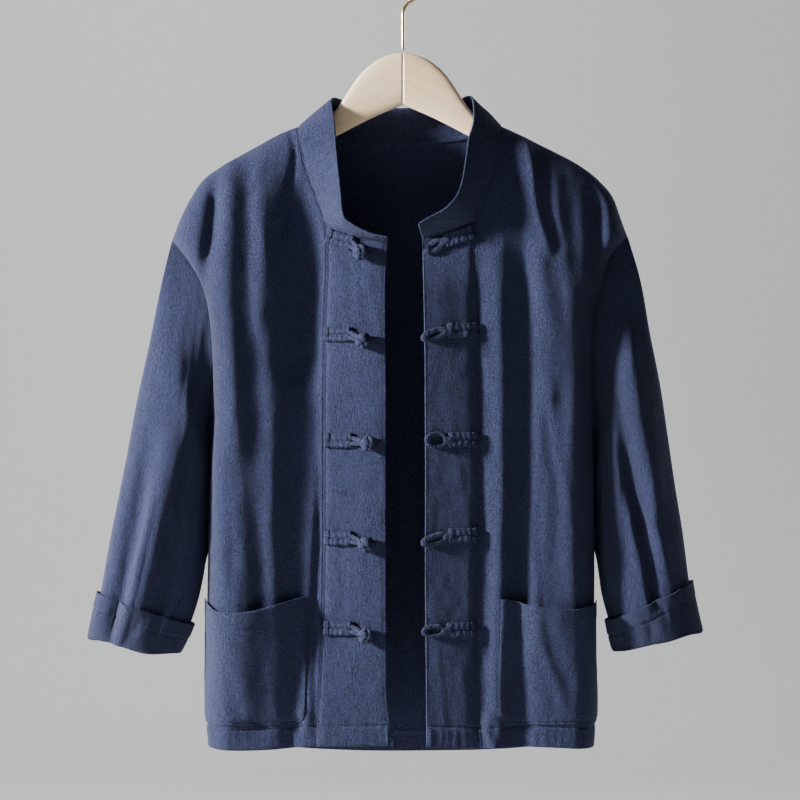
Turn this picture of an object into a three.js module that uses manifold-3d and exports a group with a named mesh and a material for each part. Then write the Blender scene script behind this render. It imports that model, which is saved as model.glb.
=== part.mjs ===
// A stand-collar linen jacket with knotted frog fastenings, hung open on a wooden hanger.
// Millimetres, +Z up. +X is the wearer's left, the front of the jacket faces -Y.
// The origin is where a rail bears: the inside top of the hanger's hook.
// Right and left are the wearer's: right is -X, left is +X.

import * as THREE from 'three';
import Module from 'manifold-3d';
import { mergeVertices } from 'three/addons/utils/BufferGeometryUtils.js';

const wasm = await Module();
wasm.setup();

// Cloth thicknesses and clearances.
const CLOTH = 1.8;
const BAND_CLOTH = 2.6;
const COLLAR_CLOTH = 2.8;
const SEAM = 0.3;

// How far the cloth stands out from the hanger's plane.
const FRONT = { sign: -1, depth: 42, round: 30 };
const BACK = { sign: 1, depth: 30, round: 40 };
const SIDE_ROUND = 28;
const ARMHOLE_DEPTH = 14;
const NECK_LEVEL = -182.5;

// Hanger and hook.
const WOOD_HALF = 6.5;
const WOOD_CLEAR = 0.35;
const WIRE = 2;
const HOOK_INSIDE = 19;

// Patch pockets, turned-back cuffs and frogs.
const POCKET_LIFT = 0.6;
const POCKET_GAPE = 9;
const POCKET_CORNER = 15;
const CUFF_SPACE = 2.4;
const CUFF_FOLD = 3;
const TAB = { cord: 8, thick: 4, pitch: 8.2, bar: 6 };
const BALL = 9;
const LOOP_CORD = 5.2;

// Outline of each half. The shoulder runs from the collar out to the drop-shoulder seam.
const SHOULDER_RIGHT = [
  { x: -121.8, z: NECK_LEVEL }, { x: -141.4, z: -190.3 }, { x: -164.4, z: -202.9 },
  { x: -187.4, z: -215.6 }, { x: -210.4, z: -229.4 }, { x: -230, z: -243.8 },
  { x: -244.9, z: -266.2 }, { x: -256.4, z: -289.2 }, { x: -265.6, z: -313.3 },
];
const SHOULDER_LEFT = [
  { x: 115, z: NECK_LEVEL }, { x: 134.5, z: -191.4 }, { x: 157.5, z: -202.9 },
  { x: 180.5, z: -214.4 }, { x: 203.5, z: -227.1 }, { x: 226.5, z: -245.5 },
  { x: 242.6, z: -266.2 }, { x: 250.7, z: -289.2 }, { x: 258.2, z: -308.7 },
];
const BACK_NECK = [
  { x: -101.7, z: -188.8 }, { x: -79.9, z: -195 }, { x: -44.1, z: -199.6 }, { x: 0, z: -201.1 },
  { x: 43, z: -199 }, { x: 75.3, z: -193.9 }, { x: 98.2, z: -187.7 },
];

// Armhole from the shoulder tip to the underarm, then the side seam down to the hem.
const UNDERARM = -531;
const OUTER_RIGHT = [
  { z: -313.3, x: -265.6 }, { z: -336.2, x: -246.9 }, { z: -361.3, x: -232.1 },
  { z: -393.3, x: -222.9 }, { z: -439, x: -218.4 }, { z: -496.2, x: -217.2 },
  { z: UNDERARM, x: -218.5 }, { z: -588, x: -220.8 }, { z: -689, x: -224.2 },
  { z: -784, x: -225.4 }, { z: -860, x: -225.4 }, { z: -891, x: -223.5 },
];
const OUTER_LEFT = [
  { z: -308.7, x: 258.2 }, { z: -331.6, x: 237.7 }, { z: -364.7, x: 227.5 },
  { z: -393.3, x: 219.5 }, { z: -439, x: 216.5 }, { z: -496.2, x: 217.2 },
  { z: UNDERARM, x: 218.5 }, { z: -588, x: 219.6 }, { z: -689, x: 219.8 },
  { z: -784, x: 220 }, { z: -860, x: 221.3 }, { z: -892, x: 218.5 },
];

// Front neckline from the shoulder down to the band, then the band's seam down to the hem.
const BAND_TOP = -294.4;
const INNER_RIGHT = [
  { z: NECK_LEVEL, x: -121.8 }, { z: -207.8, x: -117.9 }, { z: -236.3, x: -110.6 },
  { z: -266.7, x: -101.2 }, { z: BAND_TOP, x: -91.9 }, { z: -416.8, x: -91.9 },
  { z: -655, x: -91.9 }, { z: -745.8, x: -93.1 }, { z: -836.5, x: -96.5 }, { z: -888, x: -98.7 },
];
const INNER_LEFT = [
  { z: NECK_LEVEL, x: 115 }, { z: -207.8, x: 111 }, { z: -236.3, x: 104.8 },
  { z: -266.7, x: 94.3 }, { z: BAND_TOP, x: 83.9 }, { z: -416.8, x: 86.2 },
  { z: -541.6, x: 86.2 }, { z: -745.8, x: 83.9 }, { z: -836.5, x: 85 }, { z: -890, x: 89.6 },
];

// Front edge of each band, and the neckline across its top.
const EDGE_RIGHT = [
  { z: -318.4, x: -18.2 }, { z: -360.3, x: -20.4 }, { z: -496.2, x: -19.9 }, { z: -654.8, x: -20.2 },
  { z: -779.3, x: -19.6 }, { z: -833.7, x: -18.7 }, { z: -864.3, x: -14.8 }, { z: -887, x: -11.4 },
];
const EDGE_LEFT = [
  { z: -313, x: 22.6 }, { z: -349, x: 23.2 }, { z: -428.2, x: 24.9 }, { z: -552.8, x: 25.7 },
  { z: -722.7, x: 25.7 }, { z: -836, x: 26.9 }, { z: -887, x: 27.1 },
];
const BAND_NECK_RIGHT = [{ x: -91.9, z: BAND_TOP }, { x: -65.7, z: -307.2 }, { x: -18.2, z: -318.4 }];
const BAND_NECK_LEFT = [{ x: 83.9, z: BAND_TOP }, { x: 53.1, z: -306.1 }, { x: 22.6, z: -313 }];

// Hems.
const HEM_RIGHT = [
  { x: -223.5, z: -891 }, { x: -185.6, z: -892.4 }, { x: -139.6, z: -891 }, { x: -98.7, z: -888 },
];
const HEM_LEFT = [{ x: 218.5, z: -892 }, { x: 155.4, z: -888.7 }, { x: 89.6, z: -890 }];
const HEM_BACK = [
  { x: -223.5, z: -891 }, { x: -96, z: -901.6 }, { x: 0, z: -903.8 }, { x: 112.7, z: -901.6 },
  { x: 218.5, z: -892 },
];

// The largest folds: each is a soft ridge (height above 0) or trough (below 0), from top to end.
const FOLD_START = 45;
const FOLD_SWAY = { reach: 2.5, turns: 7 };
const FRONT_FOLDS = [
  { topX: -170, topZ: -215, endX: -178, endZ: -880, width: 26, height: 5 },
  { topX: -118, topZ: -225, endX: -126, endZ: -930, width: 17, height: -7 },
  { topX: -214, topZ: -240, endX: -231, endZ: -420, width: 9, height: -8 },
  { topX: 112, topZ: -330, endX: 110, endZ: -900, width: 11, height: 4 },
  { topX: 138, topZ: -300, endX: 134, endZ: -930, width: 13, height: -7 },
  { topX: 138, topZ: -190, endX: 168, endZ: -420, width: 14, height: 5 },
  { topX: 168, topZ: -500, endX: 172, endZ: -720, width: 8, height: -4 },
  { topX: 214, topZ: -240, endX: 230, endZ: -420, width: 9, height: -8 },
];
const BACK_FOLDS = [
  { topX: -150, topZ: -240, endX: -165, endZ: -890, width: 24, height: 5 },
  { topX: -105, topZ: -260, endX: -112, endZ: -870, width: 20, height: -6 },
  { topX: -30, topZ: -300, endX: -38, endZ: -900, width: 26, height: -4 },
  { topX: 60, topZ: -280, endX: 52, endZ: -900, width: 22, height: 4 },
  { topX: 118, topZ: -250, endX: 126, endZ: -870, width: 18, height: -6 },
  { topX: 168, topZ: -260, endX: 172, endZ: -890, width: 22, height: 5 },
];

// Sleeve stations from the armhole to the turned cuff: outer line, inner line, depth to front and back.
const SLEEVE_RIGHT = [
  { at: 0, outX: -265.6, outZ: -313.3, inX: -218.8, inZ: UNDERARM, front: 14, back: 14 },
  { at: 0.13, outX: -280.6, outZ: -378.9, inX: -220.6, inZ: -565, front: 23, back: 20 },
  { at: 0.27, outX: -293.5, outZ: -440, inX: -221.9, inZ: -600, front: 32, back: 24 },
  { at: 0.41, outX: -306.5, outZ: -500, inX: -223.2, inZ: -635, front: 36, back: 26 },
  { at: 0.55, outX: -318.5, outZ: -565, inX: -225.4, inZ: -670, front: 37, back: 27 },
  { at: 0.68, outX: -330.5, outZ: -625, inX: -230, inZ: -702, front: 36, back: 27 },
  { at: 0.8, outX: -341, outZ: -680, inX: -236.5, inZ: -730, front: 35, back: 26 },
  { at: 0.88, outX: -347.5, outZ: -717, inX: -244, inZ: -752, front: 34, back: 26 },
  { at: 1, outX: -358.5, outZ: -768, inX: -258.5, inZ: -784, front: 33, back: 26 },
];
const SLEEVE_LEFT = [
  { at: 0, outX: 258.2, outZ: -308.7, inX: 218.8, inZ: UNDERARM, front: 14, back: 14 },
  { at: 0.13, outX: 273.5, outZ: -363, inX: 220.1, inZ: -565, front: 23, back: 20 },
  { at: 0.27, outX: 284.5, outZ: -422, inX: 220.4, inZ: -600, front: 32, back: 24 },
  { at: 0.41, outX: 295.5, outZ: -478, inX: 220.7, inZ: -635, front: 36, back: 26 },
  { at: 0.55, outX: 304.5, outZ: -538, inX: 221.5, inZ: -668, front: 37, back: 27 },
  { at: 0.68, outX: 312.5, outZ: -593, inX: 225, inZ: -696, front: 36, back: 27 },
  { at: 0.8, outX: 322, outZ: -652, inX: 229, inZ: -722, front: 35, back: 26 },
  { at: 0.88, outX: 328.8, outZ: -704, inX: 236, inZ: -748, front: 34, back: 26 },
  { at: 1, outX: 340, outZ: -758, inX: 244.5, inZ: -782, front: 33, back: 26 },
];
const CUFF_TOP = 0.88;

// Sleeve folds run down the sleeve: across is 0 on the outer line and 1 on the inner line.
const SLEEVE_FOLDS_RIGHT = [
  { face: -1, across: 0.2, end: 0.22, from: 0.35, to: 1, width: 0.1, height: -10 },
  { face: -1, across: 0.4, end: 0.42, from: 0.3, to: 0.95, width: 0.12, height: 4 },
  { face: -1, across: 0.62, end: 0.66, from: 0.2, to: 0.9, width: 0.1, height: -6 },
  { face: 1, across: 0.3, end: 0.35, from: 0.3, to: 0.95, width: 0.13, height: -8 },
  { face: 1, across: 0.65, end: 0.6, from: 0.4, to: 0.9, width: 0.12, height: -5 },
];
const SLEEVE_FOLDS_LEFT = [
  { face: -1, across: 0.5, end: 0.45, from: 0.3, to: 0.9, width: 0.1, height: -8 },
  { face: -1, across: 0.3, end: 0.27, from: 0.2, to: 0.85, width: 0.12, height: 4 },
  { face: -1, across: 0.72, end: 0.8, from: 0.02, to: 0.8, width: 0.2, height: -9 },
  { face: 1, across: 0.35, end: 0.3, from: 0.35, to: 0.95, width: 0.13, height: -8 },
  { face: 1, across: 0.7, end: 0.65, from: 0.3, to: 0.85, width: 0.12, height: -5 },
];

// Upper edge of the collar, against the fraction of the neck seam from the right front to the left front.
const COLLAR_EDGE = [
  { at: 0, x: -18.1, y: -51, z: -313.6 }, { at: 0.03, x: -37.2, y: -51, z: -308.9 },
  { at: 0.075, x: -63.1, y: -53, z: -295.0 }, { at: 0.108, x: -68.7, y: -54, z: -285.4 },
  { at: 0.155, x: -72.2, y: -49, z: -253.6 }, { at: 0.195, x: -74.6, y: -43, z: -230.6 },
  { at: 0.25, x: -77.2, y: -32, z: -201.0 }, { at: 0.29, x: -79.8, y: -21, z: -171.3 },
  { at: 0.318, x: -82.7, y: -5, z: -150.7 }, { at: 0.36, x: -67.0, y: 13, z: -151.0 },
  { at: 0.43, x: -40.0, y: 21, z: -155.5 }, { at: 0.515, x: 0.0, y: 26, z: -158.1 },
  { at: 0.6, x: 40.0, y: 21, z: -155.0 }, { at: 0.665, x: 65.0, y: 13, z: -149.5 },
  { at: 0.7, x: 79.5, y: -3, z: -148.1 }, { at: 0.73, x: 81.2, y: -21, z: -173.3 },
  { at: 0.79, x: 74.8, y: -34, z: -200.8 }, { at: 0.84, x: 70.2, y: -45, z: -233.4 },
  { at: 0.88, x: 65.1, y: -51, z: -257.2 }, { at: 0.91, x: 58.5, y: -54, z: -270.3 },
  { at: 0.94, x: 45.8, y: -55, z: -282.7 }, { at: 0.97, x: 31.2, y: -54, z: -290.2 },
  { at: 1, x: 18.0, y: -54, z: -298.2 },
];

// Mouth line of each pocket, from its inner edge to the side seam, and its lower corners.
const MOUTH_RIGHT = [
  { x: -225.4, z: -724 }, { x: -206, z: -735 }, { x: -173.5, z: -734.5 }, { x: -139.5, z: -726 },
  { x: -111, z: -719.5 },
];
const MOUTH_LEFT = [
  { x: 220.8, z: -726 }, { x: 201, z: -732 }, { x: 177.8, z: -733 }, { x: 155, z: -729.5 },
  { x: 107.5, z: -721 },
];
const POCKETS = {
  right: { inner: -110, bottom: -863, mouth: MOUTH_RIGHT },
  left: { inner: 107.5, bottom: -863, mouth: MOUTH_LEFT },
};

// Frogs: the tab's end at the band seam, its inner end, and where its knot or loop ends.
const KNOTS = [
  { x: -87.5, z: -309, innerX: -57, innerZ: -318.5, tipX: -47.4, tipZ: -329 },
  { x: -90.5, z: -421.4, innerX: -59.6, innerZ: -421.4, tipX: -44.7, tipZ: -429.5 },
  { x: -89.6, z: -541.9, innerX: -57.9, innerZ: -541.9, tipX: -38.7, tipZ: -545.5 },
  { x: -89.6, z: -652.6, innerX: -57.9, innerZ: -652.6, tipX: -41.3, tipZ: -659.5 },
  { x: -90.4, z: -754.6, innerX: -58.1, innerZ: -754.6, tipX: -41.3, tipZ: -762 },
];
const LOOPS = [
  { x: 79.5, z: -305, innerX: 47, innerZ: -315.5, tipX: 24.8, tipZ: -329, eye: 4.2 },
  { x: 84, z: -416.9, innerX: 50, innerZ: -417.5, tipX: 20.9, tipZ: -427, eye: 4.2 },
  { x: 84, z: -541.1, innerX: 51, innerZ: -541.1, tipX: 23.7, tipZ: -542, eye: 7.4 },
  { x: 84, z: -649.2, innerX: 51, innerZ: -649.6, tipX: 20.9, tipZ: -658, eye: 4.2 },
  { x: 82, z: -755.8, innerX: 49, innerZ: -755.8, tipX: 20.5, tipZ: -757, eye: 5.4 },
];

// Hanger: top and bottom of the wood against the distance from the middle.
const WOOD_TOP = [
  { x: 0, z: -97 }, { x: 14.9, z: -99.3 }, { x: 26.4, z: -103.8 }, { x: 37.9, z: -111.3 },
  { x: 49.3, z: -122.2 }, { x: 60.8, z: -138.3 }, { x: 68.8, z: -150.9 }, { x: 78, z: -163.5 },
  { x: 90, z: -176 }, { x: 104, z: -186.5 }, { x: 118, z: -191 }, { x: 132, z: -191.5 },
];
const WOOD_BOTTOM = [
  { x: 0, z: -156.6 }, { x: 37.9, z: -173.3 }, { x: 76.9, z: -193.3 }, { x: 222, z: -268 },
];
const WOOD_SEAT = 136;
const WOOD_END = 222;
const WOOD_NOSE = 14;
const STEM_BEND = -52;
const HOOK_LEAN = 65;
const HOOK_END = 206;

const navy = new THREE.Color(0x2f3a57);
const cloth = () => new THREE.MeshStandardMaterial({ color: navy, roughness: 0.92, metalness: 0 });
const cord = () => new THREE.MeshStandardMaterial({ color: 0x2a3450, roughness: 0.88, metalness: 0 });
const wood = () => new THREE.MeshStandardMaterial({ color: 0xe6cda8, roughness: 0.55, metalness: 0 });
const brass = () => new THREE.MeshStandardMaterial({ color: 0xc9a85c, roughness: 0.28, metalness: 1 });

const group = new THREE.Group();

const clamp = (v, low = 0, high = 1) => Math.min(Math.max(v, low), high);
const mix = (a, b, t) => a + (b - a) * t;
const ease = (t) => clamp(t) * clamp(t) * (3 - 2 * clamp(t));
const bell = (v, width) => Math.exp(-((v / width) ** 2));
const ring = (h) => 2 * Math.sqrt(clamp(h) * (1 - clamp(h)));

// Reads column `to` of a table at a value of column `from`, along a smooth curve through the rows.
function read(table, from, value, to) {
  const rows = table[0][from] < table[table.length - 1][from] ? table : [...table].reverse();
  const last = rows.length - 1;
  if (value <= rows[0][from]) return rows[0][to];
  if (value >= rows[last][from]) return rows[last][to];
  const k = rows.findIndex((row, i) => i < last && value < rows[i + 1][from]);
  const step = (i) => (rows[i + 1][to] - rows[i][to]) / (rows[i + 1][from] - rows[i][from]);
  const slope = (i) => (i === 0 ? step(0) : i === last ? step(last - 1) : (step(i - 1) + step(i)) / 2);
  const span = rows[k + 1][from] - rows[k][from];
  const t = (value - rows[k][from]) / span;
  const bend = t * (1 - t) * span;
  return mix(rows[k][to], rows[k + 1][to], t)
    + bend * ((slope(k) - step(k)) * (1 - t) - (slope(k + 1) - step(k)) * t);
}

// Each half's boundaries as functions.
const HALVES = {
  right: {
    sign: -1, shoulder: SHOULDER_RIGHT, outer: OUTER_RIGHT, inner: INNER_RIGHT, edge: EDGE_RIGHT,
    neck: BAND_NECK_RIGHT, hem: HEM_RIGHT, sleeve: SLEEVE_RIGHT, sleeveFolds: SLEEVE_FOLDS_RIGHT,
  },
  left: {
    sign: 1, shoulder: SHOULDER_LEFT, outer: OUTER_LEFT, inner: INNER_LEFT, edge: EDGE_LEFT,
    neck: BAND_NECK_LEFT, hem: HEM_LEFT, sleeve: SLEEVE_LEFT, sleeveFolds: SLEEVE_FOLDS_LEFT,
  },
};
const halfAt = (x) => (x < 0 ? HALVES.right : HALVES.left);
const shoulderTip = (half) => half.shoulder[half.shoulder.length - 1];
const shoulderZ = (half, x) => read(half.shoulder, 'x', x, 'z');
const outerX = (half, z) => read(half.outer, 'z', z, 'x');

// Height of the folds of one face at a place on it.
function foldHeight(folds, x, z) {
  let height = 0;
  for (const fold of folds) {
    const along = (fold.topZ - z) / (fold.topZ - fold.endZ);
    const sway = FOLD_SWAY.reach * Math.sin(along * FOLD_SWAY.turns + fold.topX);
    const centre = mix(fold.topX, fold.endX, clamp(along)) + sway;
    const fade = ease((along + 0.08) / 0.2) * ease((1.1 - along) / 0.2);
    height += fold.height * fade * bell(x - centre, fold.width);
  }
  return height;
}

// Half the thickness of the flattened armhole at a height, which is also the sleeve's at its seam.
function armholeDepth(half, z) {
  const top = shoulderTip(half).z;
  const along = clamp((top - z) / (top - UNDERARM));
  return SEAM / 2 + ARMHOLE_DEPTH * Math.sin(Math.PI * along) ** 0.7;
}

// Distance of a face of the body from the hanger's plane.
function bodyDepth(face, x, z) {
  const half = halfAt(x);
  const below = Math.max(shoulderZ(half, x) - z, 0);
  const crown = face.depth * (1 - Math.exp(-Math.sqrt(face.round * below) / face.depth));
  const folds = face === FRONT ? FRONT_FOLDS : BACK_FOLDS;
  const full = crown + foldHeight(folds, x, z) * ease(below / FOLD_START);
  const edge = z < UNDERARM ? SEAM / 2 : armholeDepth(half, z);
  const inside = 1 - clamp((outerX(half, z) - x) * half.sign / SIDE_ROUND);
  return edge + Math.max(full - edge, 0) * Math.sqrt(1 - inside * inside);
}

const onBody = (face, x, z) => new THREE.Vector3(x, face.sign * bodyDepth(face, x, z), z);

// Vertex normals of a grid of points, grid[row][column], pointing the way `facing` gives.
function gridNormals(grid, closed, facing) {
  const rows = grid.length;
  const columns = grid[0].length;
  return grid.map((line, j) => line.map((point, i) => {
    const before = closed ? (i + columns - 1) % columns : Math.max(i - 1, 0);
    const after = closed ? (i + 1) % columns : Math.min(i + 1, columns - 1);
    const across = line[after].clone().sub(line[before]).normalize();
    const down = grid[Math.min(j + 1, rows - 1)][i].clone().sub(grid[Math.max(j - 1, 0)][i]).normalize();
    return across.cross(down).normalize().multiplyScalar(facing);
  }));
}

// Turns index triangles inside out where the solid's volume comes out negative.
function closedSolid(points, faces) {
  let volume = 0;
  for (const [a, b, c] of faces) volume += points[a].dot(points[b].clone().cross(points[c]));
  const geometry = new THREE.BufferGeometry();
  const flat = points.flatMap((p) => [p.x, p.y, p.z]);
  geometry.setAttribute('position', new THREE.Float32BufferAttribute(flat, 3));
  geometry.setIndex(faces.flatMap(([a, b, c]) => (volume < 0 ? [a, c, b] : [a, b, c])));
  return geometry;
}

// A closed wall: the outer grid, the same grid moved in by the thickness, and rims between them.
function wall(outer, normals, thickness, closed = false) {
  const rows = outer.length;
  const columns = outer[0].length;
  const inner = outer.map((line, j) =>
    line.map((p, i) => p.clone().addScaledVector(normals[j][i], -thickness)));
  const points = [...outer.flat(), ...inner.flat()];
  const at = (side, j, i) => side * rows * columns + j * columns + (i % columns);
  const faces = [];
  const quad = (a, b, c, d) => faces.push([a, b, c], [a, c, d]);
  const spans = closed ? columns : columns - 1;
  for (let i = 0; i < spans; i++) {
    for (let j = 0; j < rows - 1; j++) {
      quad(at(0, j, i), at(0, j + 1, i), at(0, j + 1, i + 1), at(0, j, i + 1));
      quad(at(1, j, i), at(1, j, i + 1), at(1, j + 1, i + 1), at(1, j + 1, i));
    }
    quad(at(0, 0, i), at(0, 0, i + 1), at(1, 0, i + 1), at(1, 0, i));
    quad(at(0, rows - 1, i), at(1, rows - 1, i), at(1, rows - 1, i + 1), at(0, rows - 1, i + 1));
  }
  if (!closed) {
    const end = columns - 1;
    for (let j = 0; j < rows - 1; j++) {
      quad(at(0, j, 0), at(1, j, 0), at(1, j + 1, 0), at(0, j + 1, 0));
      quad(at(0, j, end), at(0, j + 1, end), at(1, j + 1, end), at(1, j, end));
    }
  }
  return closedSolid(points, faces);
}

// A solid swept along a path: an even section of `sides` corners, wide across and thick along `up`.
function sweep(path, width, thick, up, sides = 5) {
  const count = path.length;
  const points = [];
  path.forEach((p, k) => {
    const ahead = path[Math.min(k + 1, count - 1)].clone().sub(path[Math.max(k - 1, 0)]);
    const across = ahead.cross(up).normalize();
    for (let i = 0; i < sides; i++) {
      const angle = ((i + 0.5) / sides) * 2 * Math.PI;
      points.push(p.clone().addScaledVector(across, (width / 2) * Math.cos(angle))
        .addScaledVector(up, (thick / 2) * Math.sin(angle)));
    }
  });
  const faces = [];
  const at = (k, i) => k * sides + (i % sides);
  for (let k = 0; k < count - 1; k++) {
    for (let i = 0; i < sides; i++) {
      faces.push([at(k, i), at(k + 1, i), at(k + 1, i + 1)], [at(k, i), at(k + 1, i + 1), at(k, i + 1)]);
    }
  }
  for (let i = 1; i < sides - 1; i++) {
    faces.push([at(0, 0), at(0, i), at(0, i + 1)]);
    faces.push([at(count - 1, 0), at(count - 1, i + 1), at(count - 1, i)]);
  }
  return closedSolid(points, faces);
}

// Joins overlapping closed geometries into one solid.
function join(geometries) {
  const solids = geometries.map((source) => {
    const bare = source.clone();
    bare.deleteAttribute('normal');
    bare.deleteAttribute('uv');
    const merged = mergeVertices(bare, 1e-4);
    return new wasm.Manifold(new wasm.Mesh({
      numProp: 3,
      vertProperties: new Float32Array(merged.attributes.position.array),
      triVerts: new Uint32Array(merged.index.array),
    }));
  });
  const mesh = solids.reduce((whole, solid) => whole.add(solid)).getMesh();
  const geometry = new THREE.BufferGeometry();
  geometry.setAttribute('position', new THREE.Float32BufferAttribute(mesh.vertProperties, 3));
  geometry.setIndex([...mesh.triVerts]);
  return geometry;
}

function add(name, geometry, material) {
  geometry.computeVertexNormals();
  const mesh = new THREE.Mesh(geometry, material);
  mesh.name = name;
  group.add(mesh);
}

// Rows of a panel: close together over the shoulder, with one on the band's corner and one on the
// underarm.
const NECK_PART = 0.163;
const ARM_PART = 0.385;
const CROWN_ROWS = [0, 0.0028, 0.0085, 0.02, 0.04, 0.073, 0.115];
const ARM_STEPS = 5;
const BODY_STEPS = 9;
const armRows = Array.from({ length: ARM_STEPS }, (_, k) =>
  mix(NECK_PART, ARM_PART, Math.sin(((k + 1) / ARM_STEPS) * Math.PI / 2)));
const bodyRows = Array.from({ length: BODY_STEPS }, (_, k) => mix(ARM_PART, 1, (k + 1) / BODY_STEPS));
const ROWS = [...CROWN_ROWS, NECK_PART, ...armRows, ...bodyRows];
const UNDERARM_ROW = ROWS.indexOf(armRows[ARM_STEPS - 1]);
const BAND_ROW = ROWS.indexOf(NECK_PART);

// Columns of a front panel, as the distance in from the side: close together round the side.
const PANEL_WIDTH = 135;
const SIDE_STEPS = 5;
const FLAT_STEPS = 6;
const sideColumns = Array.from({ length: SIDE_STEPS + 1 }, (_, k) =>
  1 - (SIDE_ROUND * (1 - Math.cos((k / SIDE_STEPS) * Math.PI / 2))) / PANEL_WIDTH);
const flatColumns = Array.from({ length: FLAT_STEPS }, (_, k) =>
  ((1 - SIDE_ROUND / PANEL_WIDTH) * k) / FLAT_STEPS);
const COLUMNS = [...flatColumns, ...sideColumns.reverse()];

// Height on the outer boundary and on the inner boundary at a row.
function outerRowZ(half, v) {
  const top = shoulderTip(half).z;
  const hem = half.outer[half.outer.length - 1].z;
  return v < ARM_PART ? mix(top, UNDERARM, v / ARM_PART)
    : mix(UNDERARM, hem, (v - ARM_PART) / (1 - ARM_PART));
}
function innerRowZ(half, v) {
  const hem = half.inner[half.inner.length - 1].z;
  return v < NECK_PART ? mix(NECK_LEVEL, BAND_TOP, v / NECK_PART)
    : mix(BAND_TOP, hem, (v - NECK_PART) / (1 - NECK_PART));
}

// Fills a four-sided patch from its top, bottom and two side lines, all as flat points.
function patch(top, bottom, start, end, share) {
  return ROWS.map((v, j) => top.map((_, i) => {
    const u = share[i];
    const last = ROWS.length - 1;
    const side = top.length - 1;
    const corners = (key) =>
      mix(mix(top[0][key], top[side][key], u), mix(bottom[0][key], bottom[side][key], u), v);
    const part = (key) =>
      mix(top[i][key], bottom[i][key], v) + mix(start[j][key], end[j][key], u) - corners(key);
    const edgeColumn = i === 0 ? start[j] : i === side ? end[j] : null;
    if (edgeColumn) return edgeColumn;
    if (j === 0) return top[i];
    if (j === last) return bottom[i];
    return { x: part('x'), z: part('z') };
  }));
}

// The outer faces of a front panel.
function frontGrid(half) {
  const inner = (v) => ({ x: read(half.inner, 'z', innerRowZ(half, v), 'x'), z: innerRowZ(half, v) });
  const outer = (v) => ({ x: outerX(half, outerRowZ(half, v)), z: outerRowZ(half, v) });
  const neckX = half.shoulder[0].x;
  const tipX = shoulderTip(half).x;
  const top = COLUMNS.map((u) => ({ x: mix(neckX, tipX, u), z: shoulderZ(half, mix(neckX, tipX, u)) }));
  const bottom = COLUMNS.map((u) => {
    const x = mix(inner(1).x, outer(1).x, u);
    return { x, z: read(half.hem, 'x', x, 'z') };
  });
  const flat = patch(top, bottom, ROWS.map(inner), ROWS.map(outer), COLUMNS);
  return flat.map((line) => line.map(({ x, z }) => onBody(FRONT, x, z)));
}

// In-plane normal of the outer boundary at a height, pointing away from the body.
function sideNormal(half, z) {
  const slope = (outerX(half, z - 1) - outerX(half, z + 1)) / 2;
  return new THREE.Vector3(half.sign, 0, half.sign * slope).normalize();
}
function shoulderNormal(half, x) {
  const slope = (shoulderZ(half, x + 1) - shoulderZ(half, x - 1)) / 2;
  return new THREE.Vector3(-slope, 0, 1).normalize();
}

// Straightens a panel's normals along its side and shoulder seams, so that neighbours share them.
function seamNormals(grid, normals, half, sideColumn, shoulderColumns) {
  ROWS.forEach((v, j) => {
    normals[j][sideColumn] = sideNormal(half, grid[j][sideColumn].z);
  });
  for (const i of shoulderColumns) normals[0][i] = shoulderNormal(half, grid[0][i].x);
}

function frontPanel(name, half) {
  const grid = frontGrid(half);
  const normals = gridNormals(grid, false, -half.sign);
  const end = COLUMNS.length - 1;
  seamNormals(grid, normals, half, end, COLUMNS.keys());
  add(`front_${name}`, wall(grid, normals, CLOTH), cloth());
  return { grid, normals };
}

// The band down the front edge, sewn to the panel's inner boundary and standing a little proud.
const BAND_COLUMNS = 5;
const BAND_PROUD = 0.8;
function band(name, half, panel) {
  const rows = panel.grid.slice(BAND_ROW);
  const first = half.edge[0].z;
  const last = half.edge[half.edge.length - 1].z;
  const grid = rows.map((line, j) => {
    const seam = line[0];
    const v = (ROWS[BAND_ROW + j] - NECK_PART) / (1 - NECK_PART);
    const edgeZ = mix(first, last, v);
    const edgeX = read(half.edge, 'z', edgeZ, 'x');
    return Array.from({ length: BAND_COLUMNS + 1 }, (_, i) => {
      const u = i / BAND_COLUMNS;
      const x = mix(seam.x - half.sign * SEAM, edgeX, u);
      const z = j === 0 ? read(half.neck, 'x', x, 'z') : mix(seam.z, edgeZ, u);
      return new THREE.Vector3(x, -bodyDepth(FRONT, x, z) - BAND_PROUD * ease(u * 8), z);
    });
  });
  const normals = gridNormals(grid, false, half.sign);
  normals.forEach((line, j) => line[0].copy(panel.normals[BAND_ROW + j][0]));
  add(`band_${name}`, wall(grid, normals, BAND_CLOTH), cloth());
  return { grid, normals };
}

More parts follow.
